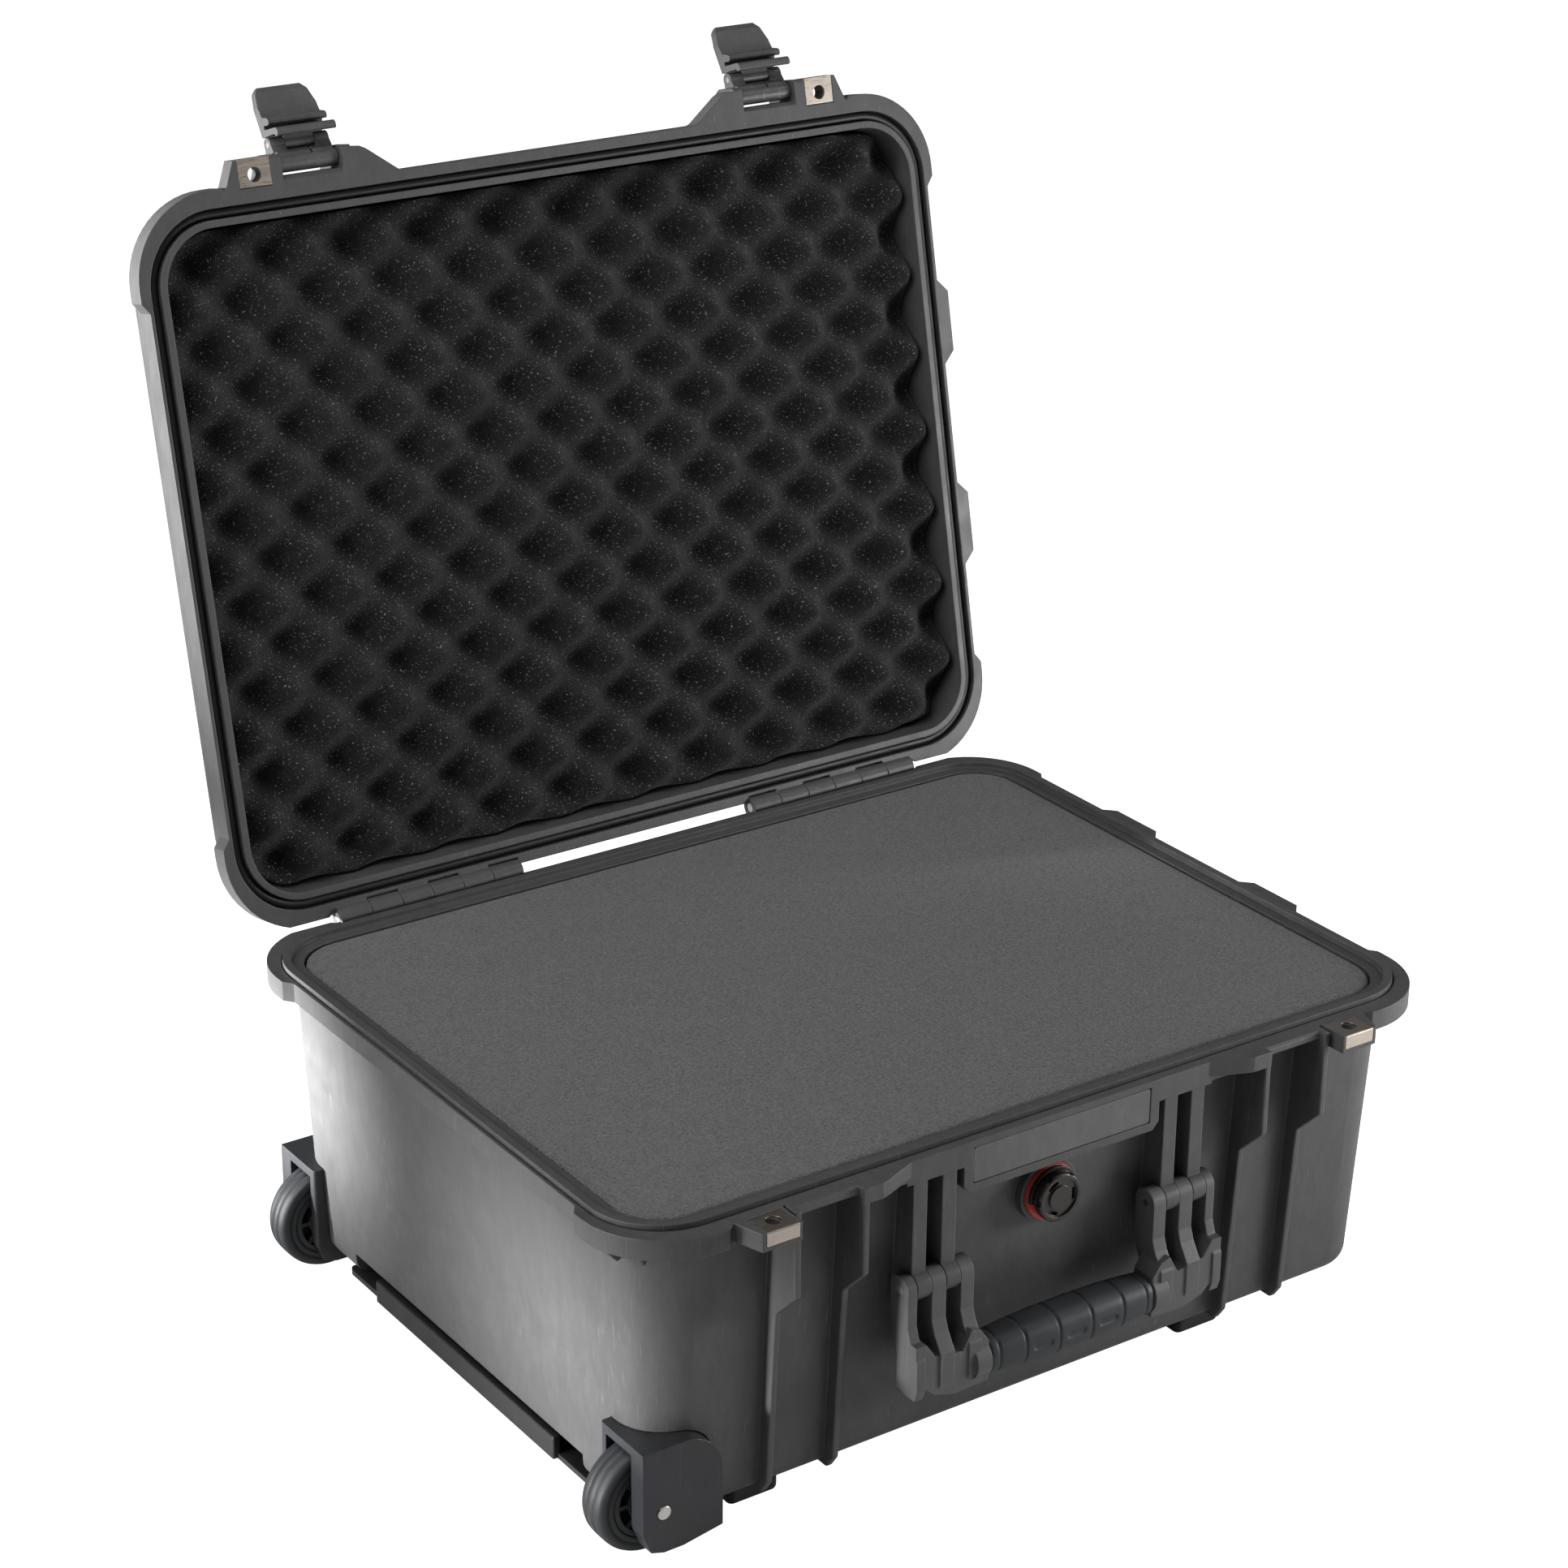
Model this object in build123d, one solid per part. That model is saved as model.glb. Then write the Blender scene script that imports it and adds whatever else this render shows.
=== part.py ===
from build123d import *
import math
import operator
import os
from functools import reduce

# Wheeled hard equipment case, modelled with the lid standing open.
# Frame: +X right along the long side, -Y front (latch side), +Z up.
# Origin: on the ground, in the middle of the open case's outline seen from above.
# The drawing frame has its zero in the middle of the base, and ORIGIN moves it.
# Lid pieces are drawn in the closed position and then turned about the hinge.
# Outlines are (half length X, half width Y, corner radius).

# ---------------------------------------------------------------- dimensions
RIM_Z = 197.0            # parting plane above the ground
PART_GAP = 0.2           # half of the gap at the parting plane
BASE_RIM = RIM_Z - PART_GAP
LID_RIM = RIM_Z + PART_GAP
BODY_BOTTOM = 13.0       # underside of the base shell
FLANGE = (268.5, 209.5, 46.0)
FLARE = (273.0, 214.0, 50.0)      # wider flange at the corners
FLANGE_T = 11.8
WALL = (258.5, 195.5, 35.0)       # outside of the walls at the flange
BASE_WALL_TOP, LID_WALL_BOTTOM = 187, 207
CAVITY = (253.5, 190.5, 30.0)     # inside of the base walls at the rim
LID_CAVITY = (256.3, 193.3, 32.5)
DRAFT = 3.0              # degrees
TAN_DRAFT = math.tan(math.radians(DRAFT))
FLOOR_T = 4.5
LID_TOP = 255.0          # outside of the lid roof when closed
LID_ROOF = 250.0         # inside of the lid roof when closed
LID_OPEN = 102.0         # degrees the lid stands open

HINGE_Y, HINGE_Z, KNUCKLE_R, HINGE_PIN_R = 213.0, 198.0, 6.5, 3.0
HINGE_X0, HINGE_X1, KNUCKLES = 84.0, 208.0, 6
KNUCKLE_GAP = 0.25       # at each end of a knuckle

LATCH_X = 156.75         # middle of each latch
LATCH_GAP = 38.5         # clear width between the ribs
LATCH_HALF = LATCH_GAP / 2 - 0.65
RIB_T = 4.0              # base ribs that frame each latch
LUG_T = 6.0              # lid lugs that hold the latch pins
LATCH_PIN_Y, LATCH_PIN_Z, LATCH_PIN_R = -222.0, 206.0, 2.5
LEVER_PIN_Y, LEVER_PIN_Z, LEVER_PIN_R = -227.5, 194.0, 1.8
LATCH_OUT = 100.0        # degrees each latch is swung out
PAD_X, PAD_Y, PAD_HOLE_R = 193.5, -218.8, 4.3     # padlock holes

PIVOT_X, PIVOT_Y, PIVOT_Z = 84.5, -207.0, 121.0   # carry handle pivots
HANDLE_PIN_R = 2.5
HANDLE_BAR_Y, HANDLE_BAR_Z = -215.0, 70.0
SIDE_SHIFT = 63.0        # moves the front handle, once turned, to the right end wall

WHEEL_R, AXLE_R = 31.0, 4.0
WHEEL_X, WHEEL_Y, WHEEL_Z = -246.0, 174.5, WHEEL_R
WELL_X, WELL_Y, WELL_Z = -209.0, 157.0, 70.0
TUNNEL_HY, TUNNEL_TOP = 125, 28                   # tunnel for the telescopic tubes
POCKET_X, POCKET_HY, POCKET_TOP = 225, 112.5, 52  # pocket for the pull handle
TUBE_Y, TUBE_Z = 80.0, 20.6
VALVE_Z = 144.0
SCREW_R, SCREW_HOLE_R = 1.8, 1.85
HOUSING_SCREW_X, HOUSING_SCREW_Z = (-237, -219), 57
COVER_SCREWS = [(x, y) for x in (-180, -60, 60, 180) for y in (-132, 132)]

FAR, BELOW = 300, -5     # where cutters end, clear of the case
PIN_PLAY = 0.08          # added to the radius of loose pin bores
SIDES = (1, -1)

MIDDLE_X, MIDDLE_Y = 7.65, 60.703   # middle of the open case in the drawing frame


# ------------------------------------------------------------------- helpers
def level(z, facing=1):
    return Plane(origin=(0, 0, z), x_dir=(1, 0, 0), z_dir=(0, 0, facing))


def rounded(hx, hy, r):
    return RectangleRounded(2 * hx, 2 * hy, r)


def grown(outline, by):
    return tuple(value + by for value in outline)


def plate(outline, z0, z1):
    return extrude(level(z0) * rounded(*outline), amount=z1 - z0)


def tapered(outline, z, height, facing=1):
    """Block that narrows by the draft, upward (facing 1) or downward (facing -1)."""
    return extrude(level(z, facing) * rounded(*outline), amount=height, taper=DRAFT)


def rim_ring(inner, outer, z0, z1):
    """Ring between two offsets from the cavity outline."""
    return plate(grown(CAVITY, outer), z0, z1) - plate(grown(CAVITY, inner), z0 - 1, z1 + 1)


def box(x0, x1, y0, y1, z0, z1):
    """Box between limits given in either order."""
    centre = Pos((x0 + x1) / 2, (y0 + y1) / 2, (z0 + z1) / 2)
    return centre * Box(abs(x1 - x0), abs(y1 - y0), abs(z1 - z0))


def rounded_box(x0, x1, y0, y1, z0, z1, r):
    b = box(x0, x1, y0, y1, z0, z1)
    return fillet(b.edges(), r)


def ccw(points):
    """Outline points in anticlockwise order, so that a prism grows along its plane."""
    area = sum(a[0] * b[1] - b[0] * a[1] for a, b in zip(points, points[1:] + points[:1]))
    return points if area > 0 else points[::-1]


def prism(plane, points, length):
    return extrude(plane * Polygon(*ccw(points), align=None), amount=length)


def prism_x(points, x0, x1):
    """Prism along X from points (y, z)."""
    return prism(Plane(origin=(x0, 0, 0), x_dir=(0, 1, 0), z_dir=(1, 0, 0)), points, x1 - x0)


def prism_y(points, y0, y1):
    """Prism along Y from points (x, z)."""
    return prism(Plane(origin=(0, y1, 0), x_dir=(1, 0, 0), z_dir=(0, -1, 0)), points, y1 - y0)


def prism_z(points, z0, z1):
    """Prism along Z from points (x, y)."""
    return prism(level(z0), points, z1 - z0)


def flip_x(points, side):
    return [(side * x, other) for x, other in points]


def rod_x(r, x0, x1, y, z):
    return Pos((x0 + x1) / 2, y, z) * Rot(0, 90, 0) * Cylinder(r, x1 - x0)


def rod_y(r, y0, y1, x, z):
    return Pos(x, (y0 + y1) / 2, z) * Rot(90, 0, 0) * Cylinder(r, y1 - y0)


def rod_z(r, z0, z1, x, y):
    return Pos(x, y, (z0 + z1) / 2) * Cylinder(r, z1 - z0)


def soften(shape, edges, r):
    # guards against fillets the kernel cannot build: the shape then keeps sharp edges
    try:
        return fillet(edges, r)
    except Exception:
        return shape


def join(shapes):
    """Fuse the shapes one after another."""
    return reduce(operator.add, shapes)


def mirror_x(shape):
    return mirror(shape, about=Plane.YZ)


def mirror_y(shape):
    return mirror(shape, about=Plane.XZ)


def both_x(shape):
    return shape + mirror_x(shape)


def turn_about_x(y, z, angle):
    return Pos(0, y, z) * Rot(-angle, 0, 0) * Pos(0, -y, -z)


def save(name, *shapes):
    found = [solid for shape in shapes for solid in (ORIGIN * shape).solids()]
    export_step(found[0] if len(found) == 1 else Compound(found), f"parts/{name}.step")


LID = turn_about_x(HINGE_Y, HINGE_Z, LID_OPEN)
LATCH = LID * turn_about_x(LATCH_PIN_Y, LATCH_PIN_Z, LATCH_OUT)
SIDE = Pos(SIDE_SHIFT, 0, 0) * Rot(0, 0, 90)
ORIGIN = Pos(-MIDDLE_X, -MIDDLE_Y, 0)

os.makedirs("parts", exist_ok=True)

# ------------------------------------------- shapes shared by the base and lid
# (x, y) of one corner
CORNER_PLAN = [
    (217, 400), (217, 214.5), (209, 208.6), (200, 150),
    (267.6, 150), (273.5, 158), (400, 158), (400, 400),
]
# (x, y)
END_TAB = [(262, 38), (268.3, 38), (276, 46), (276, 84), (268.3, 92), (262, 92)]


def flange(z0, z1):
    """Rim flange with the wider, flared corners at both ends."""
    corners = join(
        prism_z([(sx * x, sy * y) for x, y in CORNER_PLAN], z0 - 1, z1 + 1)
        for sx in SIDES
        for sy in SIDES
    )
    flare = plate(FLARE, z0, z1) & corners
    flare -= box(-FAR, FAR, 211.5, FAR, z0 - 2, z1 + 2)   # trims the flares at the back
    return plate(FLANGE, z0, z1) + flare


def end_tabs(z0, z1):
    """Two tabs on the right end."""
    tab = prism_z(END_TAB, z0, z1)
    return tab + mirror_y(tab)


def rib_spans(thickness):
    """X limits of the two ribs that frame the right latch."""
    inner, outer = LATCH_X - LATCH_GAP / 2, LATCH_X + LATCH_GAP / 2
    return [(inner - thickness, inner), (outer, outer + thickness)]


def pad_boss(side, slope_x, z0, z1):
    """Padlock boss that slopes back to the flange on its outer side."""
    slope = [(204, -200), (204, -228), (206, -228), (slope_x, -209), (slope_x, -200)]
    block = box(side * PAD_X - 11.5, side * PAD_X + 11.5, -228, -200, z0, z1)
    return block + prism_z(flip_x(slope, side), z0, z1)


def pad_hole(side):
    return rod_z(PAD_HOLE_R, 170, 215, side * PAD_X, PAD_Y)


def pad_cutters(side, rim, into):
    """Padlock hole and seat of the steel plate; into is the Z direction into the shell."""
    x0, x1 = side * PAD_X - 10.3, side * PAD_X + 10.3
    return [
        pad_hole(side),
        box(x0, x1, -240, -211.5, rim + into * 1.5, rim - into * 5),
        box(x0, x1, -240, -226.5, rim + into * 8.3, rim - into * 5),
    ]


KNUCKLE_PITCH = (HINGE_X1 - HINGE_X0) / KNUCKLES
SPANS = [
    (
        HINGE_X0 + i * KNUCKLE_PITCH + KNUCKLE_GAP,
        HINGE_X0 + (i + 1) * KNUCKLE_PITCH - KNUCKLE_GAP,
    )
    for i in range(KNUCKLES)
]
BASE_SPANS, LID_SPANS = SPANS[0::2], SPANS[1::2]


def knuckles(spans, web):
    """Mirrored pairs of hinge knuckles, each with a web from points (y, z)."""
    return [
        both_x(rod_x(KNUCKLE_R, x0, x1, HINGE_Y, HINGE_Z) + prism_x(web, x0, x1))
        for x0, x1 in spans
    ]


def hinge_cutters(spans, bore_r):
    """Clearance for the other shell's knuckles, then the hinge pin bores."""
    rods = [rod_x(KNUCKLE_R + 1.2, x0 - 0.3, x1 + 0.3, HINGE_Y, HINGE_Z) for x0, x1 in spans]
    rods.append(rod_x(bore_r, HINGE_X0 - 1, HINGE_X1 + 1, HINGE_Y, HINGE_Z))
    return [cutter for rod in rods for cutter in (rod, mirror_x(rod))]


def well_block(side, grow, grow_y):
    """Wheel well space at a left corner."""
    return box(
        -FAR, WELL_X + grow, side * (WELL_Y - grow_y), side * FAR, BELOW, WELL_Z + grow
    )


def pocket_block(grow):
    hy = POCKET_HY + grow
    return box(POCKET_X - grow, FAR, -hy, hy, BELOW, POCKET_TOP + grow)


def tunnel_block(grow):
    hy = TUNNEL_HY + grow
    return box(-FAR, FAR, -hy, hy, BELOW, TUNNEL_TOP + grow)


def pivot_rod(r, side, half):
    return rod_x(r, side * PIVOT_X - half, side * PIVOT_X + half, PIVOT_Y, PIVOT_Z)


def valve_rod(r, y0, y1):
    return rod_y(r, y0, y1, 0, VALVE_Z)


# ================================================================ base shell
# (y, z)
BASE_RIB = [
    (-180, BASE_RIM), (-219, BASE_RIM), (-219, 146), (-201.5, 128.5),
    (-194.8, 22), (-189, 13.6), (-180, 13.6),
]
CATCH_LEDGE = [
    (-200, BASE_RIM), (-213.6, BASE_RIM), (-215.0, BASE_RIM - 1.4),
    (-215.0, 192.5), (-214.0, 191.5), (-200, 191.5),
]
CATCH_RECESS = [(-230, 170), (-230, 191.5), (-204, 191.5), (-198.5, 184), (-197.5, 170)]
COLUMN = [(-184, 190), (-209, 190), (-209, 124), (-206.5, 113), (-197, 104), (-184, 98)]
BASE_KNUCKLE_WEB = [
    (200, 190), (209, 189), (219.0, 195.7), (218, 198), (208, 198), (208, 196.6), (200, 196.6),
]
# (x, y)
BASE_WEDGE = [
    (137.4, -200), (137.4, -219), (125, -219), (121.5, -218),
    (102, -210), (99, -209), (99, -200),
]
# (x, z)
APRON = [(-66, BASE_RIM), (-66, 171), (-62, 166.5), (62, 166.5), (66, 171), (66, BASE_RIM)]
COLUMN_XS = ((70.5, 79.5), (89.5, 98.5))
HEADER_HALF = 18.5


def base_body():
    outer = tapered(WALL, BASE_WALL_TOP, BASE_WALL_TOP - BODY_BOTTOM, facing=-1)
    outer = soften(outer, outer.faces().sort_by(Axis.Z)[0].edges(), 11)
    flange_z = BASE_RIM - FLANGE_T
    return outer + flange(flange_z, BASE_RIM) + end_tabs(flange_z, BASE_RIM)


def base_rib(x0, x1):
    """Tall front rib, deep at the latch and shallow below."""
    rib = prism_x(BASE_RIB, x0, x1)
    rib = soften(rib, rib.edges().filter_by(Axis.X).sort_by(Axis.Y)[1:5], 3.0)
    face_edges = rib.faces().filter_by(Plane.YZ).edges()
    return soften(rib, face_edges.filter_by(lambda e: e.center().Y < -190), 0.9)


def add_latch_fittings(shell):
    for x0, x1 in rib_spans(RIB_T):
        shell += both_x(base_rib(x0, x1))
    for side in SIDES:
        x0, x1 = side * LATCH_X - LATCH_GAP / 2, side * LATCH_X + LATCH_GAP / 2
        shell += prism_x(CATCH_LEDGE, x0 - 2, x1 + 2)
        shell -= prism_x(CATCH_RECESS, x0, x1)
        # wedge that runs from the inner rib back to the flange
        shell += prism_z(flip_x(BASE_WEDGE, side), BASE_RIM - 9.0, BASE_RIM)
        shell += pad_boss(side, 212, BASE_RIM - 10.5, BASE_RIM)
    return shell


def add_gussets(shell):
    """Small gussets under the flared front corners."""
    bottom = BASE_RIM - 21
    gusset = box(0, 20, -1.2, 1.2, bottom, BASE_RIM - FLANGE_T + 1)
    gusset -= Pos(20, 0, bottom) * Rot(0, 45, 0) * Box(11, 6, 11)
    hx, hy, r = WALL
    for side in SIDES:
        for angle in (25, 45, 65):
            turn = -angle if side > 0 else 180 + angle
            place = Pos(side * (hx - r), -(hy - r), 0) * Rot(0, 0, turn) * Pos(29.5, 0, 0)
            shell += place * gusset
    return shell


def handle_columns():
    """Two pairs of columns that carry the front handle's pivots."""
    return both_x(join(
        prism_x(COLUMN, x0, x1) + rod_x(8.2, x0, x1, PIVOT_Y, PIVOT_Z) for x0, x1 in COLUMN_XS
    ))


def add_wall_mounts(shell):
    """Name plate apron, valve boss, handle columns and the headers over them."""
    shell += prism_y(APRON, -209.5, -185)
    headers = [
        (side * PIVOT_X - HEADER_HALF, side * PIVOT_X + HEADER_HALF) for side in SIDES
    ]
    for x0, x1 in headers:
        shell += box(x0, x1, -209.5, -185, 183, BASE_RIM - 2)
    shell += valve_rod(19, -199.0, -185)
    columns = handle_columns()
    shell += columns
    shell += SIDE * columns
    for y0, y1 in headers:
        shell += box(240, 272.3, y0, y1, 183, BASE_RIM - 2)
    return shell


def add_back_and_bottom(shell):
    for knuckle in knuckles(BASE_SPANS, BASE_KNUCKLE_WEB):
        shell += knuckle
    # two long ribs under the floor
    for side in SIDES:
        shell += box(-150, 110, side * 142 - 3, side * 142 + 3, 10.5, 14)
    # wheel wells at the left corners
    for side in SIDES:
        well = well_block(side, 0, 0)
        inner = well.edges().filter_by(Axis.Y).group_by(Axis.X)[-1]
        shell -= fillet(inner.sort_by(Axis.Z)[-1], 24)
    return shell


def hollow_base(shell):
    # the cutter starts above the rim, so its outline is opened out to suit the draft
    above = 20
    depth = above + RIM_Z - BODY_BOTTOM - FLOOR_T
    cavity = tapered(grown(CAVITY, above * TAN_DRAFT), RIM_Z + above, depth, facing=-1)
    cavity = soften(cavity, cavity.faces().sort_by(Axis.Z)[0].edges(), 8)
    # leave walls around the wells, tunnel and pocket
    for side in SIDES:
        cavity -= well_block(side, FLOOR_T, FLOOR_T)
    cavity -= tunnel_block(FLOOR_T)
    cavity -= pocket_block(FLOOR_T)
    shell -= cavity
    shell -= tunnel_block(0)
    shell -= pocket_block(0)
    # slot in the left end for the lip of the bottom cover
    return shell - box(-FAR, -246.5, -99, 99, BELOW, 25)


def cut_rim(shell):
    """Tongue, inner ledge and groove."""
    shell += rim_ring(7.2, 12.0, BASE_RIM - 4, RIM_Z + 2.5)
    shell -= rim_ring(-2.0, 7.2, BASE_RIM - 0.8, BASE_RIM + 20)
    return shell - rim_ring(12.0, 13.2, BASE_RIM - 1.5, BASE_RIM + 20)


def cut_bores(shell):
    shell -= box(-60, 60, -215, -208.0, 171.5, 193.0)   # name plate recess
    shell -= valve_rod(6.2, -230, -170)
    for side in SIDES:
        for cutter in pad_cutters(side, BASE_RIM, into=-1):
            shell -= cutter
    for side in SIDES:
        bore = pivot_rod(HANDLE_PIN_R, side, 21)
        shell -= bore
        shell -= SIDE * bore
    for cutter in hinge_cutters(LID_SPANS, HINGE_PIN_R):
        shell -= cutter
    for x, y in COVER_SCREWS:
        shell -= rod_z(SCREW_HOLE_R, 5, 16.6, x, y)
    for side in SIDES:
        y = side * 155
        for x in HOUSING_SCREW_X:
            shell -= rod_y(SCREW_HOLE_R, y - 5, y + 5, x, HOUSING_SCREW_Z)
    return shell


base_shell = base_body()
for stage in (
    add_latch_fittings, add_gussets, add_wall_mounts, add_back_and_bottom,
    hollow_base, cut_rim, cut_bores,
):
    base_shell = stage(base_shell)
save("base_shell", base_shell)

# ================================================================ lid shell
# (x, z)
ROOF_BAND = [(-215, LID_TOP - 1), (-209, LID_TOP + 4), (209, LID_TOP + 4), (215, LID_TOP - 1)]
# (y, z)
LID_RIB = [
    (-185, LID_RIM), (-226.6, LID_RIM), (-228, LID_RIM + 1.4), (-228, 214),
    (-223, 221), (-201, 238), (-185, 246),
]
LUG_WEB = [
    (-200, LID_RIM), (-213.4, LID_RIM), (-215.4, LID_RIM + 2),
    (-215.4, LID_RIM + 14), (-212, LID_RIM + 18), (-200, LID_RIM + 22),
]
LID_KNUCKLE_WEB = [
    (200, 206), (209, 207), (219.0, 200.3), (218, 198),
    (209.5, 198), (208, 199.5), (200, 199.5),
]
# (x, y)
LID_WEDGE = [
    (137.4, -200), (137.4, -226.4), (126, -226.4), (122, -224.5),
    (103, -210.5), (99, -209), (99, -200),
]


def lid_body():
    lid = tapered(WALL, LID_WALL_BOTTOM, LID_TOP - LID_WALL_BOTTOM)
    lid = soften(lid, lid.faces().sort_by(Axis.Z)[-1].edges(), 14)
    lid += flange(LID_RIM, LID_RIM + 13) + end_tabs(LID_RIM, LID_RIM + 12)
    # long raised bands on the roof
    for y in (-118, -39, 39, 118):
        band = prism_y(ROOF_BAND, y - 15, y + 15)
        lid += soften(band, band.edges().filter_by(Axis.X), 1.5)
    return lid


def add_lid_fittings(lid):
    for x0, x1 in rib_spans(LUG_T):
        rib = prism_x(LID_RIB, x0, x1)
        lid += both_x(soften(rib, rib.edges().filter_by(Axis.X).sort_by(Axis.Y)[2:6], 2.5))
    for side in SIDES:
        lid += prism_z(flip_x(LID_WEDGE, side), LID_RIM, LID_RIM + 10.0)
        # web between the lugs, just behind the latch barrel
        lid += prism_x(LUG_WEB, side * LATCH_X - 21, side * LATCH_X + 21)
        lid += pad_boss(side, 214, LID_RIM, LID_RIM + 10.5)
    for knuckle in knuckles(LID_SPANS, LID_KNUCKLE_WEB):
        lid += knuckle
    return lid


def latch_pin(side, half):
    middle = side * LATCH_X
    return rod_x(LATCH_PIN_R, middle - half, middle + half, LATCH_PIN_Y, LATCH_PIN_Z)


def cut_lid(lid):
    cavity = tapered(LID_CAVITY, LID_RIM - 5, LID_ROOF - LID_RIM + 5)
    lid -= soften(cavity, cavity.faces().sort_by(Axis.Z)[-1].edges(), 7)
    lid -= rim_ring(6.6, 12.9, LID_RIM - 5, LID_RIM + 6.6)   # groove for seal and tongue
    for side in SIDES:
        for cutter in pad_cutters(side, LID_RIM, into=1):
            lid -= cutter
        lid -= latch_pin(side, 24.5)
    for cutter in hinge_cutters(BASE_SPANS, HINGE_PIN_R + PIN_PLAY):
        lid -= cutter
    return lid


save("lid_shell", LID * cut_lid(add_lid_fittings(lid_body())))

# ============================================================ hinges and seal
HINGE_MID = (HINGE_X0 + HINGE_X1) / 2
PIN_HALF = (HINGE_X1 - HINGE_X0) / 2 - 0.5
save("hinge_pins", *[
    rod_x(HINGE_PIN_R, s * HINGE_MID - PIN_HALF, s * HINGE_MID + PIN_HALF, HINGE_Y, HINGE_Z)
    for s in (-1, 1)
])
save("lid_seal", LID * rim_ring(7.0, 12.5, LID_RIM + 2.7, LID_RIM + 6.5))

# ====================================================================== foam
FOAM_GAP = 1.0


def foam_block(z0, z1):
    hx, hy, r = grown(CAVITY, -FOAM_GAP)
    shrink = (RIM_Z - z1) * TAN_DRAFT
    return tapered((hx - shrink, hy - shrink, r), z1, z1 - z0, facing=-1)


def clear_obstacles(foam):
    """Cut a low layer away around the wheel wells and the handle pocket."""
    for side in SIDES:
        foam -= well_block(side, FLOOR_T + FOAM_GAP, FLOOR_T + 3.5)
    return foam - pocket_block(FLOOR_T + FOAM_GAP)


# the upper two layers are notched behind the valve
top_foam = foam_block(122.2, RIM_Z - 1.2) - box(-17, 17, -200, -176, 100, 166)
middle_foam = foam_block(45.2, 122.0) - box(-17, 17, -200, -176, 110, 140)
save("base_foam_top_layer", top_foam)
save("base_foam_middle_layer", clear_obstacles(middle_foam))
save("base_foam_floor_pad", clear_obstacles(foam_block(33.0, 45.0)))
save("lid_foam", LID * tapered((254.5, 191.0, 30), RIM_Z + 3.6, 45.0))


# ===================================================== padlock steel plates
def pad_plate(side, rim, into):
    """Angle plate with a flat leg at the rim and a leg down the boss's front."""
    x0, x1 = side * PAD_X - 10.0, side * PAD_X + 10.0
    angle = box(x0, x1, -228.2, -212.0, rim, rim + into * 1.5)
    angle += box(x0, x1, -228.2, -226.5, rim, rim + into * 8.0)
    angle = soften(angle, angle.edges().filter_by(Axis.X).sort_by(Axis.Y)[0:1], 0.8)
    return angle - pad_hole(side)


save("base_padlock_plates", *[pad_plate(side, BASE_RIM, into=-1) for side in SIDES])
save("lid_padlock_plates", *[LID * pad_plate(side, LID_RIM, into=1) for side in SIDES])

# ========================================================== name plate, valve
name_plate = box(-59.6, 59.6, -209.2, -208.0, 171.9, 192.6)
save("name_plate", soften(name_plate, name_plate.edges().filter_by(Axis.Y), 2.0))

# (x, z)
RING_WINDOW = [
    (-9.0, VALVE_Z - 4), (-20, VALVE_Z - 1), (-20, VALVE_Z - 20),
    (2, VALVE_Z - 20), (-1.0, VALVE_Z - 10),
]
BORE_R = 2.2


def valve_body():
    body = valve_rod(16.0, -203.6, -201.4)
    # window in the collar that lets the red ring show at the lower left
    body -= prism_y(RING_WINDOW, -210, -195)
    body += valve_rod(12.4, -204.6, -201.4) + valve_rod(6.1, -201.4, -182.0)
    return body - valve_rod(BORE_R, -206, -180)


def valve_cap():
    cap = valve_rod(14.4, -209.6, -204.6)
    cap = soften(cap, cap.edges().filter_by(GeomType.CIRCLE).sort_by(Axis.Y)[0], 1.6)
    cap -= valve_rod(11.4, -211, -208.5) - valve_rod(7.2, -212, -208)
    for step, notch in (
        (60, box(13.5, 16, -210.5, -205.4, -1.6, 1.6)),    # around the edge
        (120, box(8.2, 10.4, -212, -206.4, -3.6, 3.6)),    # in the face
    ):
        for angle in range(0, 360, step):
            cap -= Pos(0, 0, VALVE_Z) * Rot(0, angle, 0) * notch
    return cap - valve_rod(BORE_R, -208.2, -200)


def valve_nut():
    hexagon = extrude(RegularPolygon(10.5, 6), amount=4.0)
    return Pos(0, -182.9, VALVE_Z) * Rot(90, 0, 0) * hexagon - valve_rod(6.15, -230, -150)


save("valve_red_ring", valve_rod(16.4, -201.4, -199.0) - valve_rod(6.3, -210, -190))
save("valve_body", valve_body())
save("valve_cap", valve_cap())
save("valve_nut", valve_nut())
save("valve_membrane", valve_rod(5.0, -181.95, -181.35))

# ============================================================== carry handles
LUG_XS = ((61.6, 70.1), (79.9, 89.1), (98.9, 104.6))
# (y, z)
HANDLE_LUG = [
    (-215, 121), (-215, 101), (-217.5, 94), (-224, 84), (-224, 66),
    (-222, 60), (-206, 60), (-206, 82), (-200.5, 92), (-199.4, 121),
]
# (x, z)
HANDLE_WEB = [
    (104.6, 93), (104.6, 77), (101, 68), (92, 60.5), (79, 56.5), (56.5, 57.5),
    (56.5, 82), (62, 90), (68, 92), (74, 81), (92, 84), (98, 93),
]
# (x along the bar, radius)
GRIP_PROFILE = [
    (-56.3, 7.05), (-56.3, 11.2), (-54, 12.4), (-20, 14.0), (0, 14.3),
    (20, 14.0), (54, 12.4), (56.3, 11.2), (56.3, 7.05),
]


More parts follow.
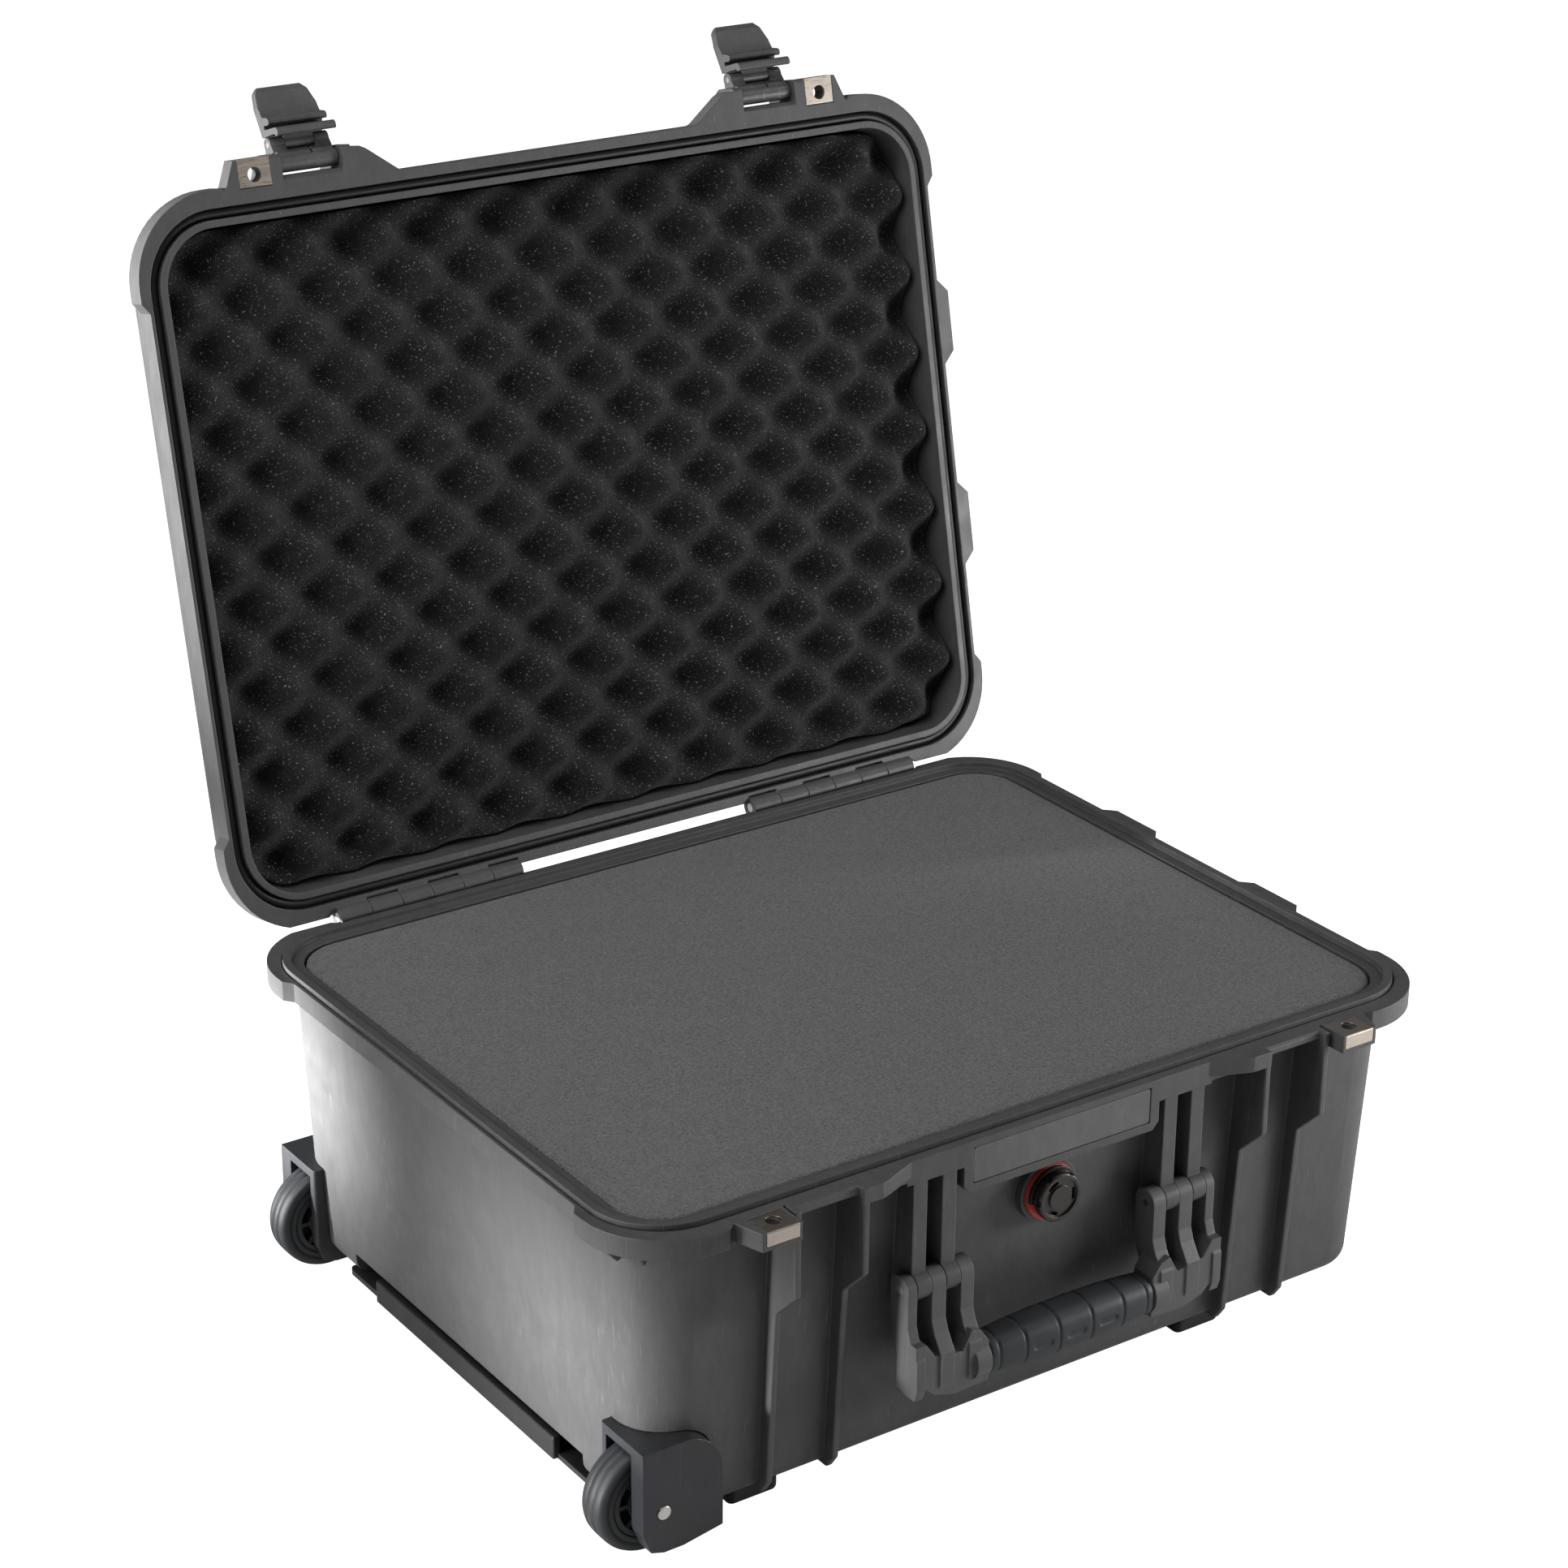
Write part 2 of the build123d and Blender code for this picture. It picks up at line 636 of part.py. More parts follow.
def handle_frame():
    pieces = []
    for side in SIDES:
        for span in LUG_XS:
            x0, x1 = sorted(side * x for x in span)
            lug = rod_x(8.0, x0, x1, PIVOT_Y, PIVOT_Z)
            pieces.append(lug + prism_x(HANDLE_LUG, x0, x1))
        pieces.append(prism_y(flip_x(HANDLE_WEB, side), -223.0, -207.0))
        x0, x1 = sorted((side * 56.5, side * 66))
        pieces.append(rod_x(12.0, x0, x1, HANDLE_BAR_Y, HANDLE_BAR_Z))
    pieces.append(rod_x(7.0, -60, 60, HANDLE_BAR_Y, HANDLE_BAR_Z))
    frame = join(pieces)
    for side in SIDES:
        frame -= pivot_rod(HANDLE_PIN_R + PIN_PLAY, side, 24)
    return frame


def handle_grip():
    grip = revolve(Plane.XY * Polygon(*GRIP_PROFILE, align=None), axis=Axis.X)
    return Pos(0, HANDLE_BAR_Y, HANDLE_BAR_Z) * grip


frame_solid = handle_frame()
grip_solid = handle_grip()
handle_pins = [pivot_rod(HANDLE_PIN_R, side, 20.3) for side in (-1, 1)]
for wall, place in (("front", Pos(0, 0, 0)), ("side", SIDE)):
    save(f"{wall}_handle_frame", place * frame_solid)
    save(f"{wall}_handle_grip", place * grip_solid)
    save(f"{wall}_handle_pins", *[place * pin for pin in handle_pins])

# ==================================================================== latches
LEVER_HALF = 9.2         # half width of the lever's barrel
EAR_X = 9.6              # inner face of the link's ears, from the latch middle
# (y, z)
LINK_PLATE = [
    (-226.4, 208), (-230.4, 203.5), (-232.0, 199.4), (-231.6, 198.2),
    (-222.6, 198.2), (-219.5, 200.2), (-217.6, 204), (-219, 208),
]
LINK_EAR = [(-231.0, 193.8), (-231.9, 199.4), (-221.6, 199.4), (-224.0, 193.8)]
LEVER_NECK = [(-231.0, 194.0), (-232.0, 187.5), (-223.4, 187.5), (-224.0, 194.0)]
LEVER_BLADE = [
    (-231.6, 189.4), (-233.2, 182), (-235.6, 171), (-238.6, 162.4), (-238.0, 160.6),
    (-235.8, 160.2), (-233.4, 163.4), (-230.4, 171), (-227.4, 178.2), (-221.6, 179.6),
    (-220.0, 180.8), (-220.0, 183.0), (-221.4, 183.8), (-226.8, 183.2), (-227.2, 185.6),
    (-213.0, 186.4), (-211.4, 187.8), (-211.2, 190.4), (-212.2, 191.2), (-214.0, 191.2),
    (-215.4, 189.8), (-222.6, 189.4),
]
# (x inward from the blade's side, z): rounded corners at the finger end
FINGER_END = [(-1, 200), (-1, 176), (0.6, 170), (2.0, 164), (5.5, 159.6)]


def lever_rod(r, middle, half):
    return rod_x(r, middle - half, middle + half, LEVER_PIN_Y, LEVER_PIN_Z)


def latch_link(middle):
    """Upper latch piece: barrel on the lid's pin, plate, and two ears for the lever."""
    x0, x1 = middle - LATCH_HALF, middle + LATCH_HALF
    link = rod_x(5.2, x0, x1, LATCH_PIN_Y, LATCH_PIN_Z)
    link += prism_x(LINK_PLATE, x0 + 1.2, x1 - 1.2)
    for ear0, ear1 in ((x0, middle - EAR_X), (middle + EAR_X, x1)):
        link += rod_x(4.1, ear0, ear1, LEVER_PIN_Y, LEVER_PIN_Z)
        link += prism_x(LINK_EAR, ear0, ear1)
    link -= box(middle + 3.0, middle + 4.2, -224.5, -214, 197.0, 202.6)
    link -= rod_x(
        LATCH_PIN_R + PIN_PLAY, middle - 30, middle + 30, LATCH_PIN_Y, LATCH_PIN_Z
    )
    link -= lever_rod(LEVER_PIN_R, middle, 30)
    return link - lever_rod(4.6, middle, EAR_X)


def latch_lever(middle):
    """Lower latch piece: hook for the catch ledge, a stiffening lip and the finger tab."""
    x0, x1 = middle - LATCH_HALF, middle + LATCH_HALF
    lever = lever_rod(4.1, middle, LEVER_HALF)
    lever += prism_x(LEVER_NECK, middle - LEVER_HALF, middle + LEVER_HALF)
    blade = prism_x(LEVER_BLADE, x0, x1)
    blade = soften(blade, blade.edges().filter_by(Axis.X), 0.45)
    ends = [(x0 + x, z) for x, z in FINGER_END] + [(x1 - x, z) for x, z in FINGER_END[::-1]]
    lever += blade & prism_y(ends, -245, -205)
    return lever - lever_rod(LEVER_PIN_R + PIN_PLAY, middle, 30)


for side, name in ((-1, "left"), (1, "right")):
    middle = side * LATCH_X
    save(f"{name}_latch_link", LATCH * latch_link(middle))
    save(f"{name}_latch_lever", LATCH * latch_lever(middle))
    save(f"{name}_latch_lever_pin", LATCH * lever_rod(LEVER_PIN_R, middle, 18.5))
save("latch_hinge_pins", *[LID * latch_pin(side, 24) for side in (-1, 1)])

# ===================================================================== wheels
BAY_R, BAY_HALF = WHEEL_R + 2.2, 12.2   # space for the wheel in its housing
HUB_R, DISH_R, BEARING_R = 21, 18.2, 9.5
# (x, z)
HOUSING_PROFILE = [
    (-258.7, 21), (-254, 9), (-246, 6.5), (-234, 6.5),
    (-209.6, 10.5), (-209.6, 69.6), (-258.7, 69.6),
]
# (radius, y)
TYRE_PROFILE = [
    (HUB_R, -10), (28.5, -10), (30.4, -8.2), (31, -4),
    (31, 4), (30.4, 8.2), (28.5, 10), (HUB_R, 10),
]


def front_housing():
    """Corner housing: a square block outside the rounded corner of the shell."""
    block = prism_y(HOUSING_PROFILE, -198.0, -WELL_Y - 0.3)
    inner = block.edges().filter_by(Axis.Y).group_by(Axis.X)[-1]
    block = soften(block, inner.sort_by(Axis.Z)[-1], 24)
    block = soften(block, block.edges().filter_by(Axis.Z).sort_by(Axis.X)[0:1], 2.0)
    y0, y1 = -WHEEL_Y - BAY_HALF, -WHEEL_Y + BAY_HALF
    block -= rod_y(BAY_R, y0, y1, WHEEL_X, WHEEL_Z)
    block -= box(-FAR, WHEEL_X, y0, y1, 0, WHEEL_Z + BAY_R)
    block -= box(-FAR, WHEEL_X + BAY_R, y0, y1, BELOW, WHEEL_Z)
    block -= rod_y(AXLE_R, -230, -100, WHEEL_X, WHEEL_Z)
    for x in HOUSING_SCREW_X:
        block -= rod_y(SCREW_HOLE_R, -166, -150, x, HOUSING_SCREW_Z)
    # shallow recess in the face towards the shell
    return block - box(-238, -213, -WELL_Y - 3.2, -150, 14, 40)


def wheel_disc(r, y0, y1):
    return rod_y(r, y0, y1, WHEEL_X, WHEEL_Z)


def tyre(y):
    return Pos(WHEEL_X, y, WHEEL_Z) * revolve(
        Plane.XY * Polygon(*TYRE_PROFILE, align=None), axis=Axis.Y
    )


def hub(y):
    body = wheel_disc(HUB_R, y - 9.4, y + 9.4)
    body = body - wheel_disc(DISH_R, y - 12, y - 2) - wheel_disc(DISH_R, y + 2, y + 12)
    body += wheel_disc(12.5, y - 9.4, y + 9.4)
    spoke = box(11.5, 18.8, -8.4, 8.4, -1.2, 1.2)
    for angle in range(0, 360, 45):
        body += Pos(WHEEL_X, y, WHEEL_Z) * Rot(0, angle, 0) * spoke
    body -= wheel_disc(BEARING_R, y - 12, y - 3.4) + wheel_disc(BEARING_R, y + 3.4, y + 12)
    return body - wheel_disc(6.0, y - 12, y + 12)


def bearing(y):
    return wheel_disc(BEARING_R, y - 3, y + 3) - wheel_disc(AXLE_R + 0.05, y - 5, y + 5)


def rear_axle():
    axle = wheel_disc(AXLE_R, 157.6, 198.8)
    return soften(axle, axle.edges().filter_by(GeomType.CIRCLE), 0.6)


def rear_housing_screw(x):
    shank = rod_y(SCREW_R, 150.6, 161.8, x, HOUSING_SCREW_Z)
    return shank + rod_y(3.6, 150.5, 152.4, x, HOUSING_SCREW_Z)


housing = front_housing()
save("front_wheel_housing", housing)
save("rear_wheel_housing", mirror_y(housing))
for side, name in ((-1, "front"), (1, "rear")):
    y = side * WHEEL_Y
    save(f"{name}_wheel_tyre", tyre(y))
    save(f"{name}_wheel_hub", hub(y))
    save(f"{name}_wheel_bearings", bearing(y + 6.4), bearing(y - 6.4))
axle = rear_axle()
save("wheel_axles", mirror_y(axle), axle)
housing_screws = [rear_housing_screw(x) for x in HOUSING_SCREW_X]
save("wheel_housing_screws", *[mirror_y(screw) for screw in housing_screws], *housing_screws)


# =============================================================== bottom pieces
def bottom_cover():
    cover = box(-249.0, 224.0, -138, 138, 9.8, 13.0)
    cover = soften(cover, cover.edges().filter_by(Axis.Z), 6)
    cover += rounded_box(-252.4, -247.0, -98, 98, 10.0, 24.4, 1.2)   # lip at the left end
    cover -= box(-FAR, WELL_X + 2, 137.0, FAR, BELOW, 30)            # trims the rear left edge
    for x in range(-210, 211, 60):
        cover += box(x - 2, x + 2, -112, 112, 7.8, 10)
    for x, y in COVER_SCREWS:
        cover -= rod_z(2.1, 5, 16, x, y)
    return cover


def foot(x, y):
    block = box(x - 16, x + 16, y - 12, y + 12, 0, BODY_BOTTOM)
    block = soften(block, block.edges().filter_by(Axis.Z), 4)
    return soften(block, block.edges().group_by(Axis.Z)[0], 1.5)


save("bottom_cover", bottom_cover())
save("bottom_cover_screws", *[
    rod_z(SCREW_R, 9.0, 16.2, x, y) + rod_z(3.8, 7.8, 9.8, x, y) for x, y in COVER_SCREWS
])
save("rubber_feet", *[foot(x, side * 163) for x in (-174.0, 135.0) for side in SIDES])

# ======================================================= telescopic pull handle
# tube sections (width Y, height Z)
GUIDE_TUBE, OUTER_TUBE, INNER_TUBE = (24, 14), (20.6, 10.6), (17.0, 7.4)
INNER_TUBE_END = 240
BUTTON_HY, BUTTON_Z, BUTTON_HZ = 15, 32, 6
BUTTON_SEAT_X = 246.0
# (x, z)
PULL_GRIP = [(231.2, 16), (251.5, 16), (253.0, 20), (253.6, 40), (251.5, 45), (231.2, 45)]


def tube_bar(x0, x1, side, section, grow=0):
    """Solid bar with the tube's section, grown on every side."""
    y, hy, hz = side * TUBE_Y, section[0] / 2 + grow, section[1] / 2 + grow
    return box(x0, x1, y - hy, y + hy, TUBE_Z - hz, TUBE_Z + hz)


def tubes(x0, x1, section, wall):
    pair = []
    for side in SIDES:
        outer = tube_bar(x0, x1, side, section)
        outer = soften(outer, outer.edges().filter_by(Axis.X), 1.6)
        pair.append(outer - tube_bar(x0 - 1, x1 + 1, side, section, grow=-wall))
    return pair


def collar():
    bar = box(225.4, 230.6, -96, 96, 14.4, 26.8)
    bar = soften(bar, bar.edges().filter_by(Axis.X), 2.5)
    for side in SIDES:
        bar -= tube_bar(200, 240, side, OUTER_TUBE, grow=0.05)
    return bar


def button_box(x0, x1, grow=0):
    hy, hz = BUTTON_HY + grow, BUTTON_HZ + grow
    return box(x0, x1, -hy, hy, BUTTON_Z - hz, BUTTON_Z + hz)


def pull_grip():
    grip = prism_y(PULL_GRIP, -109, 109)
    grip = soften(grip, grip.edges().filter_by(Axis.Z), 6)
    grip = soften(grip, grip.edges().filter_by(Axis.Y), 2)
    grip -= rounded_box(226, 243.5, -62, 62, 20, 60, 3)   # finger recess
    for side in SIDES:
        grip -= tube_bar(220, INNER_TUBE_END + 0.02, side, INNER_TUBE, grow=0.05)
    return grip - button_box(BUTTON_SEAT_X, 260, grow=0.3)


def spring_washer(y):
    washer = rod_x(2.6, BUTTON_SEAT_X + 0.05, BUTTON_SEAT_X + 0.9, y, BUTTON_Z)
    return washer - rod_x(1.6, 240, 260, y, BUTTON_Z)


save("pull_handle_guide_tubes", *tubes(-214, 224.5, GUIDE_TUBE, wall=1.4))
save("pull_handle_outer_tubes", *tubes(-200, 229.5, OUTER_TUBE, wall=1.2))
save("pull_handle_collar", collar())
save("pull_handle_inner_tubes", *tubes(-190, INNER_TUBE_END, INNER_TUBE, wall=1.4))
save("pull_handle_grip", pull_grip())
button = button_box(249.4, 254.6)
button = soften(button, button.faces().sort_by(Axis.X)[-1].edges(), 1.5)
save("pull_handle_button", button)
save("button_spring_washers", *[spring_washer(side * 8) for side in SIDES])
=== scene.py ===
"""A hard case on wheels, standing with its lid open, and the white studio round it.

The case's base stands on z = 0 with its front toward -y. The lid's hinge runs along x at the
back (+y), the wheels are at the left end (-x) and the side handle is at the right end (+x).
Pieces are drawn in millimetres, with zero in the middle of the base and the lid closed.
"""
import math

import bmesh
import bpy
import numpy as np
from mathutils import Matrix, Vector, noise

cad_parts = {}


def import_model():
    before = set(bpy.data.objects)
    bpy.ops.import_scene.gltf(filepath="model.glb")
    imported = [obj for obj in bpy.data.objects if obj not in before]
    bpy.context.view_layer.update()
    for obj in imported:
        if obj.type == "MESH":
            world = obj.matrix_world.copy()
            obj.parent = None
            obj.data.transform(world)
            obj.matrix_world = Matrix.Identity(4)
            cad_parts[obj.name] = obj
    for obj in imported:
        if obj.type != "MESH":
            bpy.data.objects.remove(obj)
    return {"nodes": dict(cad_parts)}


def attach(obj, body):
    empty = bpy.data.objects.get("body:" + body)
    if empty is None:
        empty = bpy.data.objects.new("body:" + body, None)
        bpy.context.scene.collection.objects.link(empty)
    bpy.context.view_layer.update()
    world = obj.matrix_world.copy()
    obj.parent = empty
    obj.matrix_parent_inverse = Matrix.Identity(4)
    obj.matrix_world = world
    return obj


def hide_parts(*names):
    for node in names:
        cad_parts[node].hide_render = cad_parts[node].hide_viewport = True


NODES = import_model()["nodes"]
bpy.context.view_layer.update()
bpy.context.view_layer.update()

# ----------------------------------------------------------- dimensions (mm)
PACKED_OFFSET = (-7.65, -60.703, 0.0)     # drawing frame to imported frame
HINGE_Y, HINGE_Z = 213.0, 198.0
LID_OPEN = 102.0                          # degrees
DRAFT = math.tan(math.radians(3.0))       # taper of the foam's side walls

FRONT_GRIP_Y = -215.0
SIDE_GRIP_X = 278.0
GRIP_Z = 70.0

AXLE_X = -246.0
WHEEL_Y = 174.5                           # middle of the tyre, either side of y = 0

FOOT_X = (-174.0, 135.0)
FOOT_Y = 163.0                            # either side of y = 0


# ------------------------------------------------------------ shader helpers
class Shader:
    """A material's node tree. Textures and lengths are in millimetres."""

    def __init__(self, name):
        self.material = bpy.data.materials.new(name)
        self.material.use_nodes = True
        self.tree = self.material.node_tree
        self.tree.nodes.clear()
        output = self.node("ShaderNodeOutputMaterial")
        self.bsdf = self.node("ShaderNodeBsdfPrincipled")
        self.put(output.inputs[0], self.bsdf.outputs[0])
        coords = self.node("ShaderNodeTexCoord")
        scale = self.node("ShaderNodeVectorMath", operation="SCALE")
        self.put(scale.inputs[0], coords.outputs["Object"])
        scale.inputs["Scale"].default_value = 1000.0
        self.mm = scale.outputs[0]

    def node(self, kind, **settings):
        node = self.tree.nodes.new(kind)
        for key, value in settings.items():
            setattr(node, key, value)
        return node

    def put(self, socket, value):
        """Set an input to a number or a colour, or link an output to it."""
        if isinstance(value, (int, float, tuple)):
            socket.default_value = value
        else:
            self.tree.links.new(value, socket)

    def stretched(self, scale, turn=(0, 0, 0)):
        """Coordinates turned (degrees) and scaled; a small scale draws a texture out."""
        node = self.node("ShaderNodeMapping")
        self.put(node.inputs[0], self.mm)
        node.inputs["Rotation"].default_value = [math.radians(angle) for angle in turn]
        node.inputs["Scale"].default_value = scale
        return node.outputs[0]

    def noise(self, scale, detail=3.0, rough=0.55, vector=None):
        node = self.node("ShaderNodeTexNoise")
        self.put(node.inputs["Vector"], self.mm if vector is None else vector)
        node.inputs["Scale"].default_value = scale
        node.inputs["Detail"].default_value = detail
        node.inputs["Roughness"].default_value = rough
        return node.outputs[0]

    def cells(self, scale):
        node = self.node("ShaderNodeTexVoronoi", feature="F1")
        self.put(node.inputs["Vector"], self.mm)
        node.inputs["Scale"].default_value = scale
        return node.outputs["Distance"]

    def ramp(self, value, span, to=(0.0, 1.0)):
        """Carry the span of values over to another, clamped at both ends."""
        node = self.node("ShaderNodeMapRange", clamp=True)
        self.put(node.inputs["Value"], value)
        node.inputs["From Min"].default_value, node.inputs["From Max"].default_value = span
        node.inputs["To Min"].default_value, node.inputs["To Max"].default_value = to
        return node.outputs[0]

    def math(self, operation, first, second):
        node = self.node("ShaderNodeMath", operation=operation)
        self.put(node.inputs[0], first)
        self.put(node.inputs[1], second)
        return node.outputs[0]

    def mix(self, amount, under, over):
        node = self.node("ShaderNodeMix", data_type="RGBA", blend_type="MIX")
        self.put(node.inputs["Factor"], amount)
        self.put(node.inputs[6], under)
        self.put(node.inputs[7], over)
        return node.outputs[2]

    def bevel(self, radius):
        """The normal with edges rounded over."""
        node = self.node("ShaderNodeBevel", samples=4)
        node.inputs["Radius"].default_value = radius / 1000.0
        return node.outputs[0]

    def edges(self, rounded):
        """1 where the rounded normal leaves the true one, 0 on the flat."""
        geometry = self.node("ShaderNodeNewGeometry")
        dot = self.node("ShaderNodeVectorMath", operation="DOT_PRODUCT")
        self.put(dot.inputs[0], rounded)
        self.put(dot.inputs[1], geometry.outputs["Normal"])
        return self.ramp(self.math("SUBTRACT", 1.0, dot.outputs["Value"]), span=(0.02, 0.25))

    def bump(self, height, depth, strength=1.0, normal=None):
        node = self.node("ShaderNodeBump")
        node.inputs["Strength"].default_value = strength
        node.inputs["Distance"].default_value = depth / 1000.0
        self.put(node.inputs["Height"], height)
        if normal is not None:
            self.put(node.inputs["Normal"], normal)
        return node.outputs[0]

    def finish(self, color, rough, normal=None, metallic=0.0, specular=0.5):
        self.put(self.bsdf.inputs["Base Color"], color)
        self.put(self.bsdf.inputs["Roughness"], rough)
        self.bsdf.inputs["Metallic"].default_value = metallic
        self.bsdf.inputs["Specular IOR Level"].default_value = specular
        if normal is not None:
            self.put(self.bsdf.inputs["Normal"], normal)
        return self.material


def shade(level, tint=(1.0, 1.0, 1.0)):
    return tuple(level * channel for channel in tint) + (1.0,)


# ------------------------------------------------------------ material kinds
# base and light are grey levels, grain and cell are sizes and depths are lengths in mm.
def scratch_lines(shader, squeeze, turn, crest):
    """Noise drawn out along one direction, kept only at its crests."""
    vector = shader.stretched(scale=squeeze, turn=turn)
    return shader.ramp(shader.noise(scale=1.0, detail=2.0, rough=0.5, vector=vector), span=crest)


def moulded(name, base, light, rough, grain, grain_depth, scratch, wear,
            bevel=1.1, tint=(1, 1, 1.02)):
    """Plastic with pebbled grain, cloudy flow marks, slanted scratches and rubbed edges."""
    s = Shader(name)
    rounded = s.bevel(bevel)
    cloud = s.noise(scale=0.012, detail=4.0, rough=0.6)
    fine = s.noise(scale=1.0 / grain, detail=2.0, rough=0.5)
    pebbles = s.cells(scale=1.0 / (grain * 1.6))

    crests = s.math(
        "MAXIMUM",
        scratch_lines(s, squeeze=(0.9, 0.9, 0.018), turn=(0, 38, 12), crest=(0.67, 0.73)),
        scratch_lines(s, squeeze=(1.3, 1.3, 0.03), turn=(20, -55, 0), crest=(0.69, 0.75)))
    patches = s.ramp(s.noise(scale=0.022, detail=2.0, rough=0.5), span=(0.42, 0.62))
    scratches = s.math("MULTIPLY", s.math("MULTIPLY", crests, patches), scratch)

    # flow marks, scuffs, grain, scratches, then worn edges
    tone = s.mix(s.ramp(cloud, span=(0.3, 0.7)), shade(base * 0.9, tint), shade(base * 1.12, tint))
    scuff = s.noise(scale=0.16, detail=5.0, rough=0.72,
                    vector=s.stretched(scale=(1.0, 1.0, 0.35), turn=(0, 34, 0)))
    tone = s.mix(s.ramp(scuff, span=(0.42, 0.68), to=(0.0, 0.35)), tone, shade(base * 1.7, tint))
    tone = s.mix(s.ramp(fine, span=(0.3, 0.7), to=(0.0, 0.16)), tone, shade(base * 1.45, tint))
    tone = s.mix(scratches, tone, shade(light, tint))
    worn = s.ramp(s.noise(scale=0.09, detail=3.0, rough=0.7), span=(0.42, 0.7), to=(0.15, wear))
    tone = s.mix(s.math("MULTIPLY", s.edges(rounded), worn), tone, shade(light, tint))

    roughness = s.ramp(s.noise(scale=0.05, detail=4.0, rough=0.6),
                       span=(0.3, 0.7), to=(rough - 0.05, rough + 0.07))
    # relief: 60 % fine noise, 40 % pebbles, cut by the scratches
    height = s.math("ADD", s.math("MULTIPLY", fine, 0.6), s.math("MULTIPLY", pebbles, 0.4))
    height = s.math("SUBTRACT", height, s.math("MULTIPLY", scratches, 0.35))
    normal = s.bump(height, depth=grain_depth, normal=rounded)
    return s.finish(tone, roughness, normal, specular=0.45)


def open_cell(name, base, speck, cell, depth, sparkle, tint):
    """Cut open-cell foam: pores with painted shade, torn cell walls and small painted glints."""
    s = Shader(name)
    fine = s.noise(scale=1.0 / (cell * 0.55), detail=3.0, rough=0.6)
    cloud = s.noise(scale=0.03, detail=3.0, rough=0.6)
    walls = s.ramp(s.cells(scale=1.0 / cell), span=(0.1, 0.62))
    tone = s.mix(s.ramp(cloud, span=(0.3, 0.7)), shade(base * 0.94, tint), shade(base * 1.06, tint))
    # painted shade: the pores between the cell walls are darkened in the colour, as if shade fell
    # into them
    painted_pore_shade = s.math("MULTIPLY", s.math("SUBTRACT", 1.0, walls), 0.7)
    tone = s.mix(painted_pore_shade, tone, shade(base * 0.35, tint))
    grit = s.noise(scale=1.0 / (cell * 1.6), detail=2.0, rough=0.7)
    tone = s.mix(s.ramp(grit, span=(0.35, 0.65), to=(0.0, 0.6)), tone, shade(base * 1.8, tint))
    # painted glints: small bright dots where light catches the cell walls, put into the colour
    specks = s.ramp(s.noise(scale=1.0 / (cell * 0.8), detail=1.0, rough=0.5), span=(0.66, 0.74))
    tone = s.mix(s.math("MULTIPLY", specks, sparkle), tone, shade(speck, tint))
    # relief weights of the cell walls and the fine noise
    height = s.math("ADD", s.math("MULTIPLY", walls, 0.6), s.math("MULTIPLY", fine, 0.5))
    s.bsdf.inputs["Sheen Weight"].default_value = 0.1
    s.bsdf.inputs["Sheen Roughness"].default_value = 0.6
    return s.finish(tone, rough=1.0, normal=s.bump(height, depth=depth), specular=0.12)


def metal(name, color, rough, brush, bevel, dirt=0.5):
    """Brushed metal with cloudy dirt; a small brush scale draws the lines out along that axis."""
    s = Shader(name)
    lines = s.noise(scale=2.2, detail=3.0, rough=0.6, vector=s.stretched(scale=brush))
    cloud = s.noise(scale=0.18, detail=4.0, rough=0.6)
    tone = s.mix(s.ramp(lines, span=(0.3, 0.7), to=(0.0, 0.35)),
                 shade(1.0, color), shade(0.72, color))
    tone = s.mix(s.ramp(cloud, span=(0.5, 0.75), to=(0.0, dirt * 0.5)), tone, shade(0.4, color))
    roughness = s.ramp(lines, span=(0.3, 0.7), to=(rough - 0.06, rough + 0.14))
    normal = s.bump(lines, depth=0.012, strength=0.7, normal=s.bevel(bevel))
    return s.finish(tone, roughness, normal, metallic=1.0)


def rubber(name, base, rough, grain, depth, dust, tint=(0.88, 0.98, 1.12), bevel=0.6):
    """Fine-grained rubber with cloudy dust and paler edges."""
    s = Shader(name)
    rounded = s.bevel(bevel)
    fine = s.noise(scale=1.0 / grain, detail=3.0, rough=0.6)
    cloud = s.noise(scale=0.07, detail=4.0, rough=0.65)
    dusty = shade(base * 2.3, (1.0, 1.0, 1.02))
    tone = s.mix(s.ramp(cloud, span=(0.35, 0.7), to=(0.0, dust)), shade(base, tint), dusty)
    tone = s.mix(s.math("MULTIPLY", s.edges(rounded), 0.35), tone, shade(base * 2.2, tint))
    tone = s.mix(s.ramp(fine, span=(0.35, 0.75), to=(0.0, 0.3)), tone, shade(base * 1.8, tint))
    roughness = s.ramp(cloud, span=(0.3, 0.7), to=(rough - 0.06, rough + 0.08))
    return s.finish(tone, roughness, s.bump(fine, depth=depth, normal=rounded), specular=0.4)


# ----------------------------------------------------------------- materials
MATERIALS = {}
NEUTRAL = (1, 1, 1)


def dress(nodes, kind, name, **look):
    """Make one material and put it on the CAD pieces that wear it."""
    MATERIALS[name] = kind(name, **look)
    for node in nodes.split():
        slots = NODES[node].data.materials
        slots.clear()
        slots.append(MATERIALS[name])


